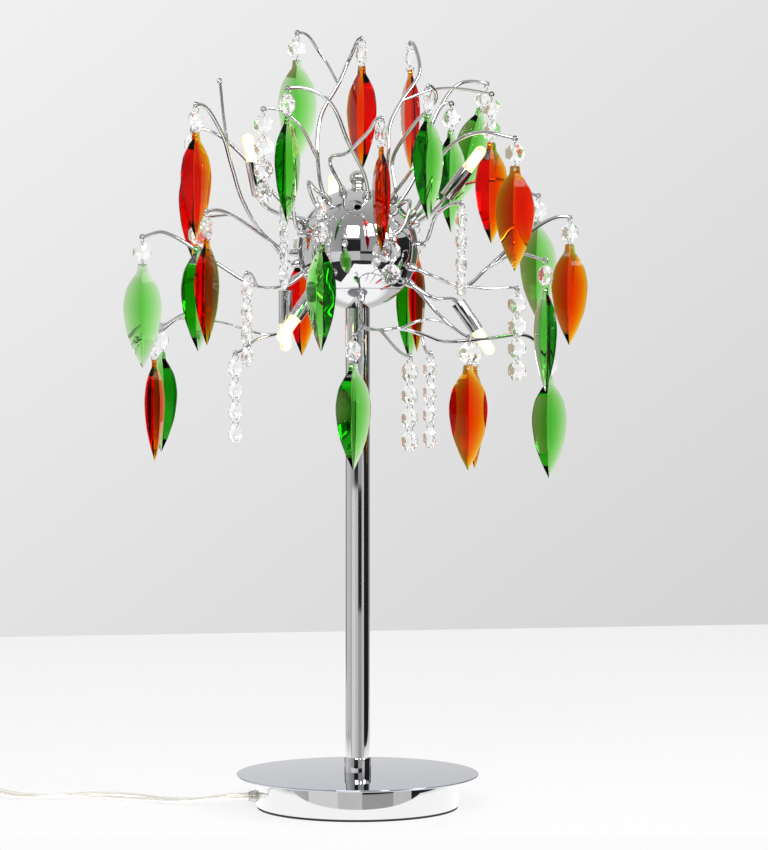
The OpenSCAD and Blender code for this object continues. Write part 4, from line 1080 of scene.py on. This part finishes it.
def bead_mesh(sizes):
    """An octagon bead about the origin: rings of eight points for its tables, its slanting
    facets and its rim, every second ring turned by a sixteenth of a turn."""
    w, t = sizes.bead_w / MM, sizes.bead_t / MM
    rings = [(share * w, -depth * t, turn) for share, depth, turn in BEAD_RINGS]
    rings += [(size, -y, turn) for size, y, turn in rings[::-1]]
    j = np.arange(8)
    rows = []
    for size, y, turn in rings:
        a = np.radians(SIXTEENTH + SIXTEENTH * turn + 2 * SIXTEENTH * j)
        r = size / 2 / math.cos(math.radians(SIXTEENTH))
        rows.append(np.stack([r * np.cos(a), np.full(8, y), r * np.sin(a)], -1))
    n = np.roll(j, -1)
    faces = []
    for i, (lower, upper) in enumerate(zip(rings[:-1], rings[1:])):
        p, q = 8 * i, 8 * i + 8
        if lower[2] == upper[2]:
            bands = [[p + j, p + n, q + n, q + j]]
        elif upper[2]:
            bands = [[p + j, p + n, q + j], [p + n, q + n, q + j]]
        else:
            bands = [[p + j, q + n, q + j], [p + j, p + n, q + n]]
        for band in bands:
            faces += np.stack(band, -1).tolist()
    faces += [j[::-1].tolist(), (8 * len(rings) - 8 + j).tolist()]
    mesh = mesh_of("bead", [(np.vstack(rows), faces)])
    return drilled("bead", mesh, [(0, 0, BEAD_HOLE), (0, 0, -BEAD_HOLE)])


def turned(tip, heading, turn, drop, lean):
    """Matrix that hangs a piece drop below tip, turned from the heading, with its line leaning."""
    return (
        Matrix.Translation(np.array(tip) * MM)
        @ Matrix.Rotation(math.radians(heading), 4, "Z")
        @ Matrix.Rotation(math.radians(lean), 4, "Y")
        @ Matrix.Translation((0, 0, -drop * MM))
        @ Matrix.Rotation(math.radians(turn), 4, "Z")
    )


class LAMP_OT_pendants(bpy.types.Operator):
    """Hangs the glass leaves and the strands of clear beads on their jump rings"""

    bl_idname = "lamp.pendants"
    bl_label = "Leaves and beads"

    def execute(self, context):
        sizes = context.scene.lamp_sizes
        ring_r, wire_r = sizes.ring_d / MM / 2, sizes.ring_wire / MM / 2
        ring = ring_shape(
            (0, 0, -ring_r), (1, 0, 0), ring_r, wire_r, wire_r, sides=28, round_sides=8
        )
        ring = mesh_of("ring", [ring])
        bead, leaf = bead_mesh(sizes), leaf_mesh(sizes)
        drop = sizes.ring_d / MM
        for node, glass, beads, _, _, tip, heading, turn in PENDANTS:
            body = ("leaf pendant " if glass else "bead strand ") + node.split("_")[1]
            step, lean = turn / (2 * beads + 2), LEANS.get(node, 0)
            rings = [
                (ring, turned(tip, heading, (2 * i + 1) * step, i * BEAD_PITCH, lean))
                for i in range(beads + bool(glass))
            ]
            drops = [
                (bead, turned(tip, heading, (2 * i + 2) * step, i * BEAD_PITCH + drop + BEAD_HOLE, lean))
                for i in range(beads)
            ]
            add_piece(node + "_rings", placed(rings, node + "_rings"), "chrome", body, angle=60)
            clear = add_piece(node + "_beads", placed(drops, node + "_beads"), "clear", body)
            if glass:
                place = turned(tip, heading, turn, beads * BEAD_PITCH + drop, lean)
                clear = add_piece(node + "_glass", placed([(leaf, place)], node), glass, body, angle=14)
            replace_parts(clear, node)
        return {"FINISHED"}


class LAMP_PT_panel(bpy.types.Panel):
    """Sizes, colours and steps of the lamp"""

    bl_label = "Tree table lamp"
    bl_idname = "LAMP_PT_panel"
    bl_space_type = "VIEW_3D"
    bl_region_type = "UI"
    bl_category = "Lamp"

    def draw(self, context):
        for group in (context.scene.lamp_sizes, context.scene.lamp_colours):
            column = self.layout.column()
            for name in group.__annotations__:
                column.prop(group, name)
        for step in STEPS:
            self.layout.operator(step.bl_idname)


STEPS = (LAMP_OT_stage, LAMP_OT_cord, LAMP_OT_base, LAMP_OT_twigs, LAMP_OT_lights, LAMP_OT_pendants)
CLASSES = (LampSizes, LampColours, *STEPS, LAMP_PT_panel)


def register():
    for cls in CLASSES:
        bpy.utils.register_class(cls)
    bpy.types.Scene.lamp_sizes = bpy.props.PointerProperty(type=LampSizes)
    bpy.types.Scene.lamp_colours = bpy.props.PointerProperty(type=LampColours)


def unregister():
    del bpy.types.Scene.lamp_colours
    del bpy.types.Scene.lamp_sizes
    for cls in reversed(CLASSES):
        bpy.utils.unregister_class(cls)


def main():
    register()
    bpy.ops.lamp.stage()
    bpy.ops.lamp.cord()
    bpy.ops.lamp.base()
    bpy.ops.lamp.twigs()
    bpy.ops.lamp.lights()
    bpy.ops.lamp.pendants()


if __name__ == "__main__":
    main()
